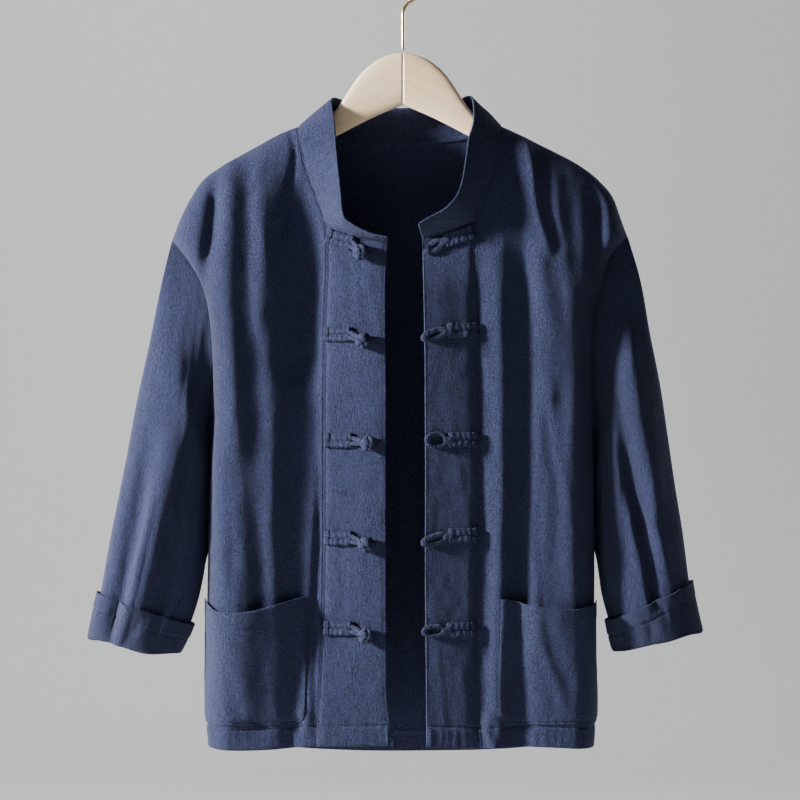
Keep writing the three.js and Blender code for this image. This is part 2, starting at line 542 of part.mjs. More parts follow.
// The back: its columns match both fronts along the shoulders.
function backPanel() {
  const right = HALVES.right;
  const left = HALVES.left;
  const columnX = (half) => COLUMNS.map((u) => mix(half.shoulder[0].x, shoulderTip(half).x, u));
  const topLine = [
    ...columnX(right).reverse().map((x) => ({ x, z: shoulderZ(right, x) })),
    ...BACK_NECK,
    ...columnX(left).map((x) => ({ x, z: shoulderZ(left, x) })),
  ];
  const first = topLine[0].x;
  const last = topLine[topLine.length - 1].x;
  const share = topLine.map(({ x }) => (x - first) / (last - first));
  const outer = (half, v) => ({ x: outerX(half, outerRowZ(half, v)), z: outerRowZ(half, v) });
  const bottom = share.map((u) => {
    const x = mix(outer(right, 1).x, outer(left, 1).x, u);
    return { x, z: read(HEM_BACK, 'x', x, 'z') };
  });
  const edges = [right, left].map((half) => ROWS.map((v) => outer(half, v)));
  const flat = patch(topLine, bottom, ...edges, share);
  const grid = flat.map((line) => line.map(({ x, z }) => onBody(BACK, x, z)));
  const normals = gridNormals(grid, false, 1);
  const count = COLUMNS.length;
  const end = topLine.length - 1;
  seamNormals(grid, normals, right, 0, Array.from({ length: count }, (_, i) => i));
  seamNormals(grid, normals, left, end, Array.from({ length: count }, (_, i) => end - i));
  add('back', wall(grid, normals, CLOTH), cloth());
  return { grid, normals, neckFrom: count, neckTo: end - count };
}

// The collar grows from the neck seam's own points up to its edge, and leans out at the front.
const COLLAR_ROWS = 4;
const COLLAR_ROLL = 1;
function collar(right, left, back) {
  const seam = [];
  const take = (point, normal) => seam.push({ point, normal });
  for (let i = BAND_COLUMNS; i > 0; i--) take(right.band.grid[0][i], right.band.normals[0][i]);
  for (let j = BAND_ROW; j > 0; j--) take(right.front.grid[j][0], right.front.normals[j][0]);
  for (let i = back.neckFrom - 1; i <= back.neckTo + 1; i++) take(back.grid[0][i], back.normals[0][i]);
  for (let j = 1; j <= BAND_ROW; j++) take(left.front.grid[j][0], left.front.normals[j][0]);
  for (let i = 1; i <= BAND_COLUMNS; i++) take(left.band.grid[0][i], left.band.normals[0][i]);
  const lengths = seam.map(({ point }, k) => (k === 0 ? 0 : point.distanceTo(seam[k - 1].point)));
  const total = lengths.reduce((sum, length) => sum + length);
  let gone = 0;
  const columns = seam.map(({ point, normal }, k) => {
    gone += lengths[k];
    const at = gone / total;
    const top = new THREE.Vector3(...['x', 'y', 'z'].map((key) => read(COLLAR_EDGE, 'at', at, key)));
    const rise = top.clone().sub(point);
    const along = seam[Math.min(k + 1, seam.length - 1)].point.clone().sub(seam[Math.max(k - 1, 0)].point);
    const foot = point.clone().addScaledVector(along.clone().cross(normal).normalize(), SEAM + 0.2);
    const out = rise.clone().cross(along).normalize();
    return Array.from({ length: COLLAR_ROWS + 1 }, (_, j) => {
      const w = j / COLLAR_ROWS;
      const roll = COLLAR_ROLL * Math.sin(Math.PI * w);
      return { p: foot.clone().lerp(top, w).addScaledVector(out, roll), normal };
    });
  });
  const grid = Array.from({ length: COLLAR_ROWS + 1 }, (_, j) => columns.map((column) => column[j].p));
  const normals = gridNormals(grid, false, -1);
  columns.forEach((column, i) => normals[0][i].copy(column[0].normal));
  add('collar', wall(grid, normals, COLLAR_CLOTH), cloth());
}

// Place on a sleeve's outer face: station s along it, h across it, and which face.
function sleevePoint(half, s, h, face, bow) {
  const value = (key) => read(half.sleeve, 'at', s, key);
  const x = mix(value('outX'), value('inX'), h) + bow * (1 - clamp(s)) ** 2;
  const z = mix(value('outZ'), value('inZ'), h);
  const seamDepth = armholeDepth(half, z) - SEAM / 2;
  const depth = value(face < 0 ? 'front' : 'back') * ring(h);
  let folds = 0;
  for (const fold of half.sleeveFolds) {
    if (fold.face !== face) continue;
    const along = (s - fold.from) / (fold.to - fold.from);
    const middle = mix(fold.across, fold.end, clamp(along));
    const fade = ease(along / 0.35) * ease((1.1 - along) / 0.25);
    folds += fold.height * fade * bell(h - middle, fold.width) * ring(h);
  }
  const y = mix(seamDepth, depth, ease(s / 0.25)) + folds;
  return new THREE.Vector3(x, face * y, z);
}

// One ring of a sleeve: down the front from the shoulder to the underarm, then up the back.
function sleeveRing(half, s) {
  const tip = shoulderTip(half);
  const drops = ROWS.slice(0, UNDERARM_ROW + 1).map((v) => v / ARM_PART);
  const bow = (h) => {
    const z = mix(tip.z, UNDERARM, h);
    return outerX(half, z) - mix(tip.x, outerX(half, UNDERARM), h);
  };
  const front = drops.map((h) => sleevePoint(half, s, h, -1, bow(h)));
  const back = drops.slice(1, -1).reverse().map((h) => sleevePoint(half, s, h, 1, bow(h)));
  return [...front, ...back];
}

const SLEEVE_STEPS = 15;
function sleeve(name, half) {
  const grid = Array.from({ length: SLEEVE_STEPS + 1 }, (_, k) => sleeveRing(half, k / SLEEVE_STEPS));
  grid[0].forEach((point) => point.addScaledVector(sideNormal(half, point.z), SEAM + 0.25));
  const normals = gridNormals(grid, true, half.sign);
  add(`sleeve_${name}`, wall(grid, normals, CLOTH, true), cloth());
}

// The sleeve's end turned outwards and up: a hooked profile carried round the sleeve.
function cuff(name, half) {
  const stations = [CUFF_TOP, 0.92, 0.96, 1];
  const rings = stations.map((s) => sleeveRing(half, s));
  const normals = gridNormals(rings, true, half.sign);
  const axis = rings[3].map((p, i) => p.clone().sub(rings[1][i]).normalize());
  const end = stations.length - 1;
  const profile = [{ station: end, down: SEAM, out: -CLOTH }];
  const turn = (radius) => Array.from({ length: 4 }, (_, k) => {
    const angle = (k / 3) * Math.PI;
    const middle = CUFF_FOLD - CLOTH;
    const down = CUFF_FOLD + radius * Math.sin(angle);
    return { station: end, down, out: middle - radius * Math.cos(angle) };
  });
  profile.push(...turn(CUFF_FOLD));
  for (let k = end - 1; k >= 0; k--) profile.push({ station: k, down: 0, out: CUFF_SPACE + CLOTH });
  for (let k = 0; k < end; k++) profile.push({ station: k, down: 0, out: CUFF_SPACE });
  profile.push(...turn(CUFF_FOLD - CLOTH).reverse());
  profile.push({ station: end, down: SEAM, out: 0 });
  const count = rings[0].length;
  const points = profile.flatMap(({ station, down, out }) => rings[station].map((p, i) =>
    p.clone().addScaledVector(axis[i], down).addScaledVector(normals[station][i], out)));
  const at = (k, i) => (k % profile.length) * count + (i % count);
  const faces = [];
  for (let k = 0; k < profile.length; k++) {
    for (let i = 0; i < count; i++) {
      faces.push([at(k, i), at(k, i + 1), at(k + 1, i + 1)], [at(k, i), at(k + 1, i + 1), at(k + 1, i)]);
    }
  }
  add(`cuff_${name}`, closedSolid(points, faces), cloth());
}

// Place and normal on a panel's own column at a height.
function onColumn(panel, i, z) {
  const line = panel.grid.map((row) => row[i]);
  const j = Math.max(line.findIndex((point, k) => k > 0 && point.z <= z) - 1, 0);
  const t = (z - line[j].z) / (line[j + 1].z - line[j].z);
  const normal = panel.normals[j][i].clone().lerp(panel.normals[j + 1][i], t).normalize();
  return { point: line[j].clone().lerp(line[j + 1], t), normal };
}

// The same between two columns of the panel, at a distance x across it.
function betweenColumns(panel, half, x, z) {
  const i = COLUMNS.findIndex((_, k) => (onColumn(panel, k + 1, z).point.x - x) * half.sign > 0);
  const before = onColumn(panel, i, z);
  const after = onColumn(panel, i + 1, z);
  const t = (x - before.point.x) / (after.point.x - before.point.x);
  const normal = before.normal.lerp(after.normal, t).normalize();
  return { point: before.point.lerp(after.point, t), normal };
}

// A patch pocket: the panel's own points moved out, most of all at the middle of its open mouth. Its
// first columns follow the inner edge, whose lower corner is rounded, and the rest the panel's columns.
const POCKET_ROWS = 6;
const POCKET_EDGE = [0, 4.5];
function pocket(name, half, panel) {
  const { inner, bottom, mouth } = POCKETS[name];
  const side = mouth[0].x;
  const from = (x) => (x - inner) * half.sign;
  const first = COLUMNS.findIndex((_, i) => from(onColumn(panel, i, mouth[0].z).point.x) > 8);
  const places = [
    ...POCKET_EDGE.map((far) => (z) => betweenColumns(panel, half, inner + half.sign * far, z)),
    ...COLUMNS.slice(first).map((_, i) => (z) => onColumn(panel, first + i, z)),
  ];
  const cell = (place, w) => {
    const top = read(mouth, 'x', place(mouth[0].z).point.x, 'z');
    const corner = Math.max(POCKET_CORNER - from(place(bottom).point.x), 0);
    const low = bottom + POCKET_CORNER - Math.sqrt(POCKET_CORNER ** 2 - corner ** 2);
    const { point, normal } = place(mix(top, low, w));
    const q = clamp((point.x - inner) / (side - inner));
    const gape = POCKET_GAPE * Math.sin(Math.PI * q) ** 0.9 * (1 - w) ** 1.3;
    return { point: point.clone().addScaledVector(normal, POCKET_LIFT + CLOTH + gape), normal };
  };
  const cells = Array.from({ length: POCKET_ROWS + 1 }, (_, j) =>
    places.map((place) => cell(place, j / POCKET_ROWS)));
  const part = (key) => cells.map((line) => line.map((one) => one[key]));
  add(`pocket_${name}`, wall(part('point'), part('normal'), CLOTH), cloth());
}

// Where a frog's cord lies: over the band at (x, z), its middle lifted by half its thickness and more.
function overBand(x, z, lift) {
  const cloth = bodyDepth(FRONT, x, z) + BAND_PROUD;
  return new THREE.Vector3(x, -cloth - SEAM - TAB.thick / 2 - lift, z);
}

// The flat tab of a frog: two cords side by side with a bar across the end at the seam.
function tab({ x, z, innerX, innerZ }) {
  const up = new THREE.Vector3(0, -1, 0);
  const run = new THREE.Vector2(innerX - x, innerZ - z).normalize();
  const side = new THREE.Vector2(-run.y, run.x);
  const line = (offset) => [0, 1].map((t) => overBand(
    mix(x, innerX, t) + side.x * offset, mix(z, innerZ, t) + side.y * offset, 0.2));
  const half = TAB.pitch / 2;
  const bar = [-half - TAB.cord * 0.4, half + TAB.cord * 0.4].map((offset) => overBand(
    x + run.x * TAB.bar * 0.5 + side.x * offset, z + run.y * TAB.bar * 0.5 + side.y * offset, 0.5));
  return [
    sweep(line(half), TAB.cord, TAB.thick, up),
    sweep(line(-half), TAB.cord, TAB.thick, up),
    sweep(bar, TAB.bar, TAB.thick, up),
  ];
}

// Knot half: the tab's cords draw together into a ball of crossing turns.
function knot(name, row) {
  const up = new THREE.Vector3(0, -1, 0);
  const centre = overBand(row.tipX, row.tipZ, BALL - TAB.thick / 2);
  const start = overBand(mix(row.innerX, row.x, 0.15), mix(row.innerZ, row.z, 0.15), 0.6);
  const neck = sweep([start, centre.clone()], TAB.cord, TAB.thick * 1.2, up);
  const ball = new THREE.IcosahedronGeometry(BALL * 0.86, 1);
  const turn = new THREE.TorusGeometry(BALL * 0.64, BALL * 0.38, 4, 7).rotateX(0.6).rotateZ(1);
  for (const part of [ball, turn]) part.translate(centre.x, centre.y, centre.z);
  add(`knot_${name}`, join([...tab(row), neck, ball, turn]), cord());
}

// Loop half: the tab's cord runs on round a loop at the front edge and back.
function loop(name, row) {
  const up = new THREE.Vector3(0, -1, 0);
  const run = new THREE.Vector2(row.tipX - row.innerX, row.tipZ - row.innerZ);
  const length = run.length();
  run.normalize();
  const side = new THREE.Vector2(-run.y, run.x);
  const steps = 8;
  const turned = 2 * Math.PI * 0.92;
  const path = Array.from({ length: steps + 1 }, (_, k) => {
    const angle = mix(-0.5, 0.5, k / steps) * turned;
    const ahead = length / 2 + (length / 2 - LOOP_CORD / 2) * Math.cos(angle);
    const aside = row.eye * Math.sin(angle) * (1 - 0.12 * Math.cos(angle));
    const x = row.innerX + run.x * ahead + side.x * aside;
    const z = row.innerZ + run.y * ahead + side.y * aside;
    return overBand(x, z, 0.4);
  });
  const neck = [
    overBand(mix(row.innerX, row.x, 0.2), mix(row.innerZ, row.z, 0.2), 0.4),
    overBand(mix(row.innerX, row.tipX, 0.16), mix(row.innerZ, row.tipZ, 0.16), 0.4),
  ];
  const eye = sweep(path, LOOP_CORD, TAB.thick, up);
  add(`loop_${name}`, join([...tab(row), eye, sweep(neck, TAB.cord * 1.1, TAB.thick, up)]), cord());
}

// One wooden half of the hanger: rounded sections along the arm, seated under the shoulder.
function hangerArm(name, half) {
  const arm = (x) => {
    if (x <= WOOD_SEAT) return read(WOOD_TOP, 'x', x, 'z');
    const drop = (CLOTH + WOOD_CLEAR) / shoulderNormal(half, half.sign * x).z;
    return shoulderZ(half, half.sign * x) - drop;
  };
  const shoulderStart = Math.abs(half.shoulder[0].x);
  const tipX = Math.abs(shoulderTip(half).x);
  const onShoulder = COLUMNS.map((u) => mix(shoulderStart, tipX, u)).filter((x) => x > WOOD_SEAT);
  const nose = [0, 0.5, 0.85, 1].map((t) => WOOD_END - WOOD_NOSE * (1 - t));
  const before = [SEAM / 2, 14.9, 26.4, 37.9, 49.3, 60.8, 72, 86, 104, 124];
  const stations = [...before, ...onShoulder.filter((x) => x < nose[0] - 3), ...nose];
  const sides = 14;
  const points = [];
  for (const x of stations) {
    const reach = clamp((x - nose[0]) / WOOD_NOSE);
    const shrink = Math.sqrt(1 - (0.93 * reach) ** 2);
    const top = arm(x) - 1.1 * reach;
    const bottom = read(WOOD_BOTTOM, 'x', x, 'z');
    const middle = mix((top + bottom) / 2, top - 9, reach);
    const high = Math.min(top - middle, ((top - bottom) / 2) * shrink + 0.01);
    for (let i = 0; i < sides; i++) {
      const angle = (i / sides) * 2 * Math.PI + Math.PI / 2;
      const c = Math.cos(angle);
      const s = Math.sin(angle);
      const y = WOOD_HALF * shrink * Math.sign(c) * Math.abs(c) ** 0.7;
      const z = high * Math.sign(s) * Math.abs(s) ** 0.8;
      points.push(new THREE.Vector3(half.sign * x, y, middle + z));
    }
  }
  const faces = [];
  const at = (k, i) => k * sides + (i % sides);
  for (let k = 0; k < stations.length - 1; k++) {
    for (let i = 0; i < sides; i++) {
      faces.push([at(k, i), at(k + 1, i), at(k + 1, i + 1)], [at(k, i), at(k + 1, i + 1), at(k, i + 1)]);
    }
  }
  const last = stations.length - 1;
  for (let i = 1; i < sides - 1; i++) {
    faces.push([at(0, 0), at(0, i), at(0, i + 1)]);
    faces.push([at(last, 0), at(last, i + 1), at(last, i)]);
  }
  add(`hanger_${name}`, closedSolid(points, faces), wood());
}

// The wire hook: a straight stem, a bend out towards +X, and a round hook over the rail.
function hook() {
  const radius = HOOK_INSIDE + WIRE;
  const lean = THREE.MathUtils.degToRad(HOOK_LEAN);
  const bend = (radius * Math.cos(lean)) / (1 - Math.cos(lean));
  const bendTop = STEM_BEND + bend * Math.sin(lean);
  const centreZ = -HOOK_INSIDE;
  const slip = centreZ - radius * Math.sin(lean) - bendTop;
  const stem = [WOOD_TOP[0].z + SEAM, mix(WOOD_TOP[0].z, STEM_BEND, 0.5)];
  const path = stem.map((z) => new THREE.Vector3(0, 0, z));
  const bendSteps = 6;
  for (let k = 0; k <= bendSteps; k++) {
    const angle = (k / bendSteps) * lean;
    const z = STEM_BEND + slip + bend * Math.sin(angle);
    path.push(new THREE.Vector3(bend * (1 - Math.cos(angle)), 0, z));
  }
  const arcSteps = 20;
  for (let k = 1; k <= arcSteps; k++) {
    const angle = mix(-lean, THREE.MathUtils.degToRad(HOOK_END), k / arcSteps);
    path.push(new THREE.Vector3(radius * Math.cos(angle), 0, centreZ + radius * Math.sin(angle)));
  }
  add('hanger_hook', sweep(path, 2 * WIRE, 2 * WIRE, new THREE.Vector3(0, 1, 0), 8), brass());
}

const back = backPanel();
const sides = {};
for (const [name, half] of Object.entries(HALVES)) {
  const front = frontPanel(name, half);
  sides[name] = { front, band: band(name, half, front) };
  sleeve(name, half);
  cuff(name, half);
  pocket(name, half, front);
  hangerArm(name, half);
}
collar(sides.right, sides.left, back);
KNOTS.forEach((row, k) => knot(k + 1, row));
LOOPS.forEach((row, k) => loop(k + 1, row));
hook();

export default group;
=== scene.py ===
"""A stand-collar linen jacket on a wooden hanger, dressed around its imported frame.

Cloth pieces repeat the frame's own formulas on finer grids, then take creases, puckers and seams.
Measures are millimetres, and become metres where a mesh is made. Right and left are the wearer's:
right is -X, left is +X, and the front faces -Y.
"""

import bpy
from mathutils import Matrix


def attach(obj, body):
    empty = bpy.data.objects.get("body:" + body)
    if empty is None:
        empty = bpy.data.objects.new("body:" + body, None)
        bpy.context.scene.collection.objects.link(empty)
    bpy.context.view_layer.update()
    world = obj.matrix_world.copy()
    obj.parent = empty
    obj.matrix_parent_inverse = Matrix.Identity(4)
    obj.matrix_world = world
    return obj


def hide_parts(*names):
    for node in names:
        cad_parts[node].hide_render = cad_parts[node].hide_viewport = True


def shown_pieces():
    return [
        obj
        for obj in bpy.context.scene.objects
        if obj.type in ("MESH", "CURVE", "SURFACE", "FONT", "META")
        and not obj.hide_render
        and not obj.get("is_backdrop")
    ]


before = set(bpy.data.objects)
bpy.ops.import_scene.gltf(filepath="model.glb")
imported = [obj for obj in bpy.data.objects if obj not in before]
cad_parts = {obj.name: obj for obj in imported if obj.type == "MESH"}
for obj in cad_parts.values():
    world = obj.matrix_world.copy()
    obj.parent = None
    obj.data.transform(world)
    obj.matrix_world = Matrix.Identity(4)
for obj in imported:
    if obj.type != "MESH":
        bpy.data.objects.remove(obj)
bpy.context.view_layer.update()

import math

import bpy
import numpy as np
from mathutils import Vector

MM = 0.001


def table(names, *rows):
    """A table as a dict of columns."""
    return dict(zip(names.split(), (np.array(column, float) for column in zip(*rows))))


def rows_of(columns):
    """The rows of a table, each as a dict."""
    return [dict(zip(columns, row)) for row in zip(*columns.values())]


# Cloth and clearances, as in the frame. The shells are thinner than its walls.
CLOTH = 1.8
SHELL = 1.1
BAND_SHELL = 1.7
COLLAR_SHELL = 2.2
SEAM = 0.3
VISUAL_SEAM = 0.1
FREE_RIM = 0.45
SEWN_RIM = 0.08

# How far the cloth stands out from the hanger's plane.
FRONT = dict(sign=-1, depth=42, round=30)
BACK = dict(sign=1, depth=30, round=40)
SIDE_ROUND = 28
ARMHOLE_DEPTH = 14
NECK_LEVEL = -182.5
UNDERARM = -531
BAND_TOP = -294.4
BAND_WIDTH = 68
BAND_PROUD = 0.8
BAND_LEAN = dict(height=9, seam=86, wide=62, start=-320, fade=60)
COLLAR_HEIGHT = 45
COLLAR_ROLL = 1

# Shares of a panel's length above the underarm and above the band, and where its relief fades out.
ARM_SHARE = 0.385
NECK_SHARE = 0.163
SIDE_CALM = 14
TOP_CALM = 12

# Outline of each half.
SHOULDER_RIGHT = table(
    "x z", (-121.8, NECK_LEVEL), (-141.4, -190.3), (-164.4, -202.9), (-187.4, -215.6),
    (-210.4, -229.4), (-230, -243.8), (-244.9, -266.2), (-256.4, -289.2), (-265.6, -313.3))
SHOULDER_LEFT = table(
    "x z", (115, NECK_LEVEL), (134.5, -191.4), (157.5, -202.9), (180.5, -214.4), (203.5, -227.1),
    (226.5, -245.5), (242.6, -266.2), (250.7, -289.2), (258.2, -308.7))
BACK_NECK = table(
    "x z", (-121.8, NECK_LEVEL), (-101.7, -188.8), (-79.9, -195), (-44.1, -199.6), (0, -201.1),
    (43, -199), (75.3, -193.9), (98.2, -187.7), (115, NECK_LEVEL))
OUTER_RIGHT = table(
    "z x", (-313.3, -265.6), (-336.2, -246.9), (-361.3, -232.1), (-393.3, -222.9), (-439, -218.4),
    (-496.2, -217.2), (UNDERARM, -218.5), (-588, -220.8), (-689, -224.2), (-784, -225.4),
    (-860, -225.4), (-891, -223.5))
OUTER_LEFT = table(
    "z x", (-308.7, 258.2), (-331.6, 237.7), (-364.7, 227.5), (-393.3, 219.5), (-439, 216.5),
    (-496.2, 217.2), (UNDERARM, 218.5), (-588, 219.6), (-689, 219.8), (-784, 220), (-860, 221.3),
    (-892, 218.5))
INNER_RIGHT = table(
    "z x", (NECK_LEVEL, -121.8), (-207.8, -117.9), (-236.3, -110.6), (-266.7, -101.2),
    (BAND_TOP, -91.9), (-416.8, -91.9), (-655, -91.9), (-745.8, -93.1), (-836.5, -96.5), (-888, -98.7))
INNER_LEFT = table(
    "z x", (NECK_LEVEL, 115), (-207.8, 111), (-236.3, 104.8), (-266.7, 94.3), (BAND_TOP, 83.9),
    (-416.8, 86.2), (-541.6, 86.2), (-745.8, 83.9), (-836.5, 85), (-890, 89.6))
EDGE_RIGHT = table(
    "z x", (-318.4, -18.2), (-360.3, -20.4), (-496.2, -19.9), (-654.8, -20.2), (-779.3, -19.6),
    (-833.7, -18.7), (-864.3, -14.8), (-887, -11.4))
EDGE_LEFT = table(
    "z x", (-313, 22.6), (-349, 23.2), (-428.2, 24.9), (-552.8, 25.7), (-722.7, 25.7), (-836, 26.9),
    (-887, 27.1))
BAND_NECK_RIGHT = table("x z", (-91.9, BAND_TOP), (-65.7, -307.2), (-18.2, -318.4))
BAND_NECK_LEFT = table("x z", (83.9, BAND_TOP), (53.1, -306.1), (22.6, -313))
HEM_RIGHT = table("x z", (-223.5, -891), (-185.6, -892.4), (-139.6, -891), (-98.7, -888))
HEM_LEFT = table("x z", (218.5, -892), (155.4, -888.7), (89.6, -890))
HEM_BACK = table("x z", (-223.5, -891), (-96, -901.6), (0, -903.8), (112.7, -901.6), (218.5, -892))
HEM_DEEP = 23
MOUTH_LEVEL = -725
POCKET_BOTTOM = -863
POCKET_DEEP = 140
POCKET_HEM = 20
POCKET_CORNER = 15
POCKET_GAPE = 9
MOUTH_RIGHT = table(
    "x z", (-225.4, -724), (-206, -735), (-173.5, -734.5), (-139.5, -726), (-111, -719.5))
MOUTH_LEFT = table("x z", (220.8, -726), (201, -732), (177.8, -733), (155, -729.5), (107.5, -721))

# The largest folds, as in the frame.
FOLD_START = 45
FOLD_SWAY = dict(reach=2.5, turns=7)
FOLD_COLUMNS = "topX topZ endX endZ width height"
FRONT_FOLDS = table(
    FOLD_COLUMNS, (-170, -215, -178, -880, 26, 5), (-118, -225, -126, -930, 17, -7),
    (-214, -240, -231, -420, 9, -8), (112, -330, 110, -900, 11, 4), (138, -300, 134, -930, 13, -7),
    (138, -190, 168, -420, 14, 5), (168, -500, 172, -720, 8, -4), (214, -240, 230, -420, 9, -8))
BACK_FOLDS = table(
    FOLD_COLUMNS, (-150, -240, -165, -890, 24, 5), (-105, -260, -112, -870, 20, -6),
    (-30, -300, -38, -900, 26, -4), (60, -280, 52, -900, 22, 4), (118, -250, 126, -870, 18, -6),
    (168, -260, 172, -890, 22, 5))

# Finer creases laid over them, in the same columns.
FRONT_CREASES = table(
    FOLD_COLUMNS, (-128, -200, -120, -470, 38, -7), (-126, -190, -127, -300, 4, -2.6),
    (-160, -205, -163, -420, 8, 1.2), (-205, -470, -207, -700, 6, 1.3),
    (-193, -520, -197, -730, 5, -1), (-150, -560, -147, -720, 7, 1.1),
    (-106, -560, -108, -880, 5, 1.8), (-99, -620, -103, -890, 4, -1.6), (128, -186, 133, -300, 5, -2),
    (139, -200, 163, -330, 5, 2.4), (152, -205, 176, -330, 6, -1.4), (93, -620, 97, -860, 5, -1.3),
    (158, -540, 156, -730, 5, -0.8), (190, -480, 187, -720, 8, 1.5), (206, -420, 205, -700, 6, -1.4),
    (146, -720, 181, -850, 6, 1.8), (160, -740, 206, -870, 9, -1.4), (-205, -740, -170, -860, 16, 1.8),
    (-190, -850, -150, -868, 6, -1.6), (96, -850, 101, -895, 5, 3.2), (-114, -840, -112, -895, 6, 2.6),
    (-200, -215, -194, -560, 14, 5), (-180, -225, -170, -540, 16, -5.5),
    (-204, -530, -200, -880, 14, 3.4), (-166, -530, -161, -880, 15, -4),
    (-86, -235, -86, -800, 38, -7), (-104, -300, -104, -780, 14, -5.5), (168, -480, 172, -720, 8, 3),
    (172, -230, 190, -420, 12, 3.2), (86, -330, 86, -890, 8, -2.6), (123, -330, 119, -900, 8, -2))
BACK_CREASES = table(
    FOLD_COLUMNS, (-190, -260, -200, -560, 9, 1.6), (-178, -420, -176, -760, 6, -1.4),
    (-130, -230, -126, -420, 7, 1.6), (-84, -240, -70, -480, 8, -1.6), (-62, -520, -70, -840, 9, 1.6),
    (-12, -230, -6, -420, 8, 1.4), (14, -480, 10, -860, 10, -1.6), (40, -240, 34, -440, 7, -1.2),
    (88, -260, 94, -520, 9, 1.7), (104, -560, 98, -860, 7, 1.4), (146, -250, 150, -470, 7, -1.5),
    (190, -300, 196, -640, 9, -1.6), (204, -600, 202, -860, 7, 1.5), (-206, -620, -204, -850, 7, -1.5))

# Sleeve stations from the armhole to the turned cuff.
STATION_COLUMNS = "at outX outZ inX inZ front back"
SLEEVE_RIGHT = table(
    STATION_COLUMNS, (0, -265.6, -313.3, -218.8, UNDERARM, 14, 14),
    (0.13, -280.6, -378.9, -220.6, -565, 23, 20), (0.27, -293.5, -440, -221.9, -600, 32, 24),
    (0.41, -306.5, -500, -223.2, -635, 36, 26), (0.55, -318.5, -565, -225.4, -670, 37, 27),
    (0.68, -330.5, -625, -230, -702, 36, 27), (0.8, -341, -680, -236.5, -730, 35, 26),
    (0.88, -347.5, -717, -244, -752, 34, 26), (1, -358.5, -768, -258.5, -784, 33, 26))
SLEEVE_LEFT = table(
    STATION_COLUMNS, (0, 258.2, -308.7, 218.8, UNDERARM, 14, 14),
    (0.13, 273.5, -363, 220.1, -565, 23, 20), (0.27, 284.5, -422, 220.4, -600, 32, 24),
    (0.41, 295.5, -478, 220.7, -635, 36, 26), (0.55, 304.5, -538, 221.5, -668, 37, 27),
    (0.68, 312.5, -593, 225, -696, 36, 27), (0.8, 322, -652, 229, -722, 35, 26),
    (0.88, 328.8, -704, 236, -748, 34, 26), (1, 340, -758, 244.5, -782, 33, 26))
SLEEVE_LENGTH = 470
CUFF_TOP = 0.88
CUFF_DEEP = 52
CUFF_HEM = 18
CUFF_SPACE = 2.4
CUFF_FOLD = 3
FOLD_RINGS = 7

# Sleeve folds and the finer creases after them: across is 0 on the outer line, 1 on the inner one.
SLEEVE_FOLD_COLUMNS = "face across end start stop width height"
SLEEVE_FOLDS_RIGHT = table(
    SLEEVE_FOLD_COLUMNS, (-1, 0.2, 0.22, 0.35, 1, 0.1, -10), (-1, 0.4, 0.42, 0.3, 0.95, 0.12, 4),
    (-1, 0.62, 0.66, 0.2, 0.9, 0.1, -6), (1, 0.3, 0.35, 0.3, 0.95, 0.13, -8),
    (1, 0.65, 0.6, 0.4, 0.9, 0.12, -5), (-1, 0.31, 0.33, 0.4, 1, 0.05, 2.4),
    (-1, 0.27, 0.26, 0.5, 1, 0.04, -2), (-1, 0.12, 0.1, 0.2, 0.6, 0.05, 1.4),
    (-1, 0.5, 0.55, 0.1, 0.6, 0.06, 1.5), (-1, 0.82, 0.8, 0.3, 0.85, 0.05, -1.6),
    (-1, 0.75, 0.52, 0.7, 1, 0.05, 1.5), (-1, 0.34, 0.36, 0.5, 1.02, 0.035, 3),
    (-1, 0.25, 0.26, 0.5, 1.02, 0.05, -2.6), (1, 0.2, 0.16, 0.2, 0.7, 0.06, 1.6),
    (1, 0.45, 0.5, 0.15, 0.6, 0.06, -1.6), (1, 0.8, 0.7, 0.35, 0.9, 0.06, 1.5),
    (1, 0.5, 0.42, 0.6, 1, 0.05, 1.7))
SLEEVE_FOLDS_LEFT = table(
    SLEEVE_FOLD_COLUMNS, (-1, 0.5, 0.45, 0.3, 0.9, 0.1, -8), (-1, 0.3, 0.27, 0.2, 0.85, 0.12, 4),
    (-1, 0.72, 0.8, 0.02, 0.8, 0.2, -9), (1, 0.35, 0.3, 0.35, 0.95, 0.13, -8),
    (1, 0.7, 0.65, 0.3, 0.85, 0.12, -5), (-1, 0.17, 0.2, 0.05, 0.7, 0.1, 4),
    (-1, 0.45, 0.42, 0.05, 0.75, 0.12, -6), (-1, 0.87, 0.87, 0.02, 0.75, 0.09, 4),
    (-1, 0.55, 0.52, 0.5, 0.95, 0.06, 4), (-1, 0.4, 0.2, 0.6, 0.9, 0.05, 1.8),
    (-1, 0.36, 0.6, 0.7, 1, 0.06, -2.4), (-1, 0.14, 0.12, 0.15, 0.6, 0.05, 1.4),
    (1, 0.2, 0.24, 0.2, 0.7, 0.06, 1.6), (1, 0.5, 0.46, 0.15, 0.6, 0.06, -1.6),
    (1, 0.82, 0.74, 0.35, 0.9, 0.06, 1.5), (1, 0.45, 0.52, 0.6, 1, 0.05, 1.7))

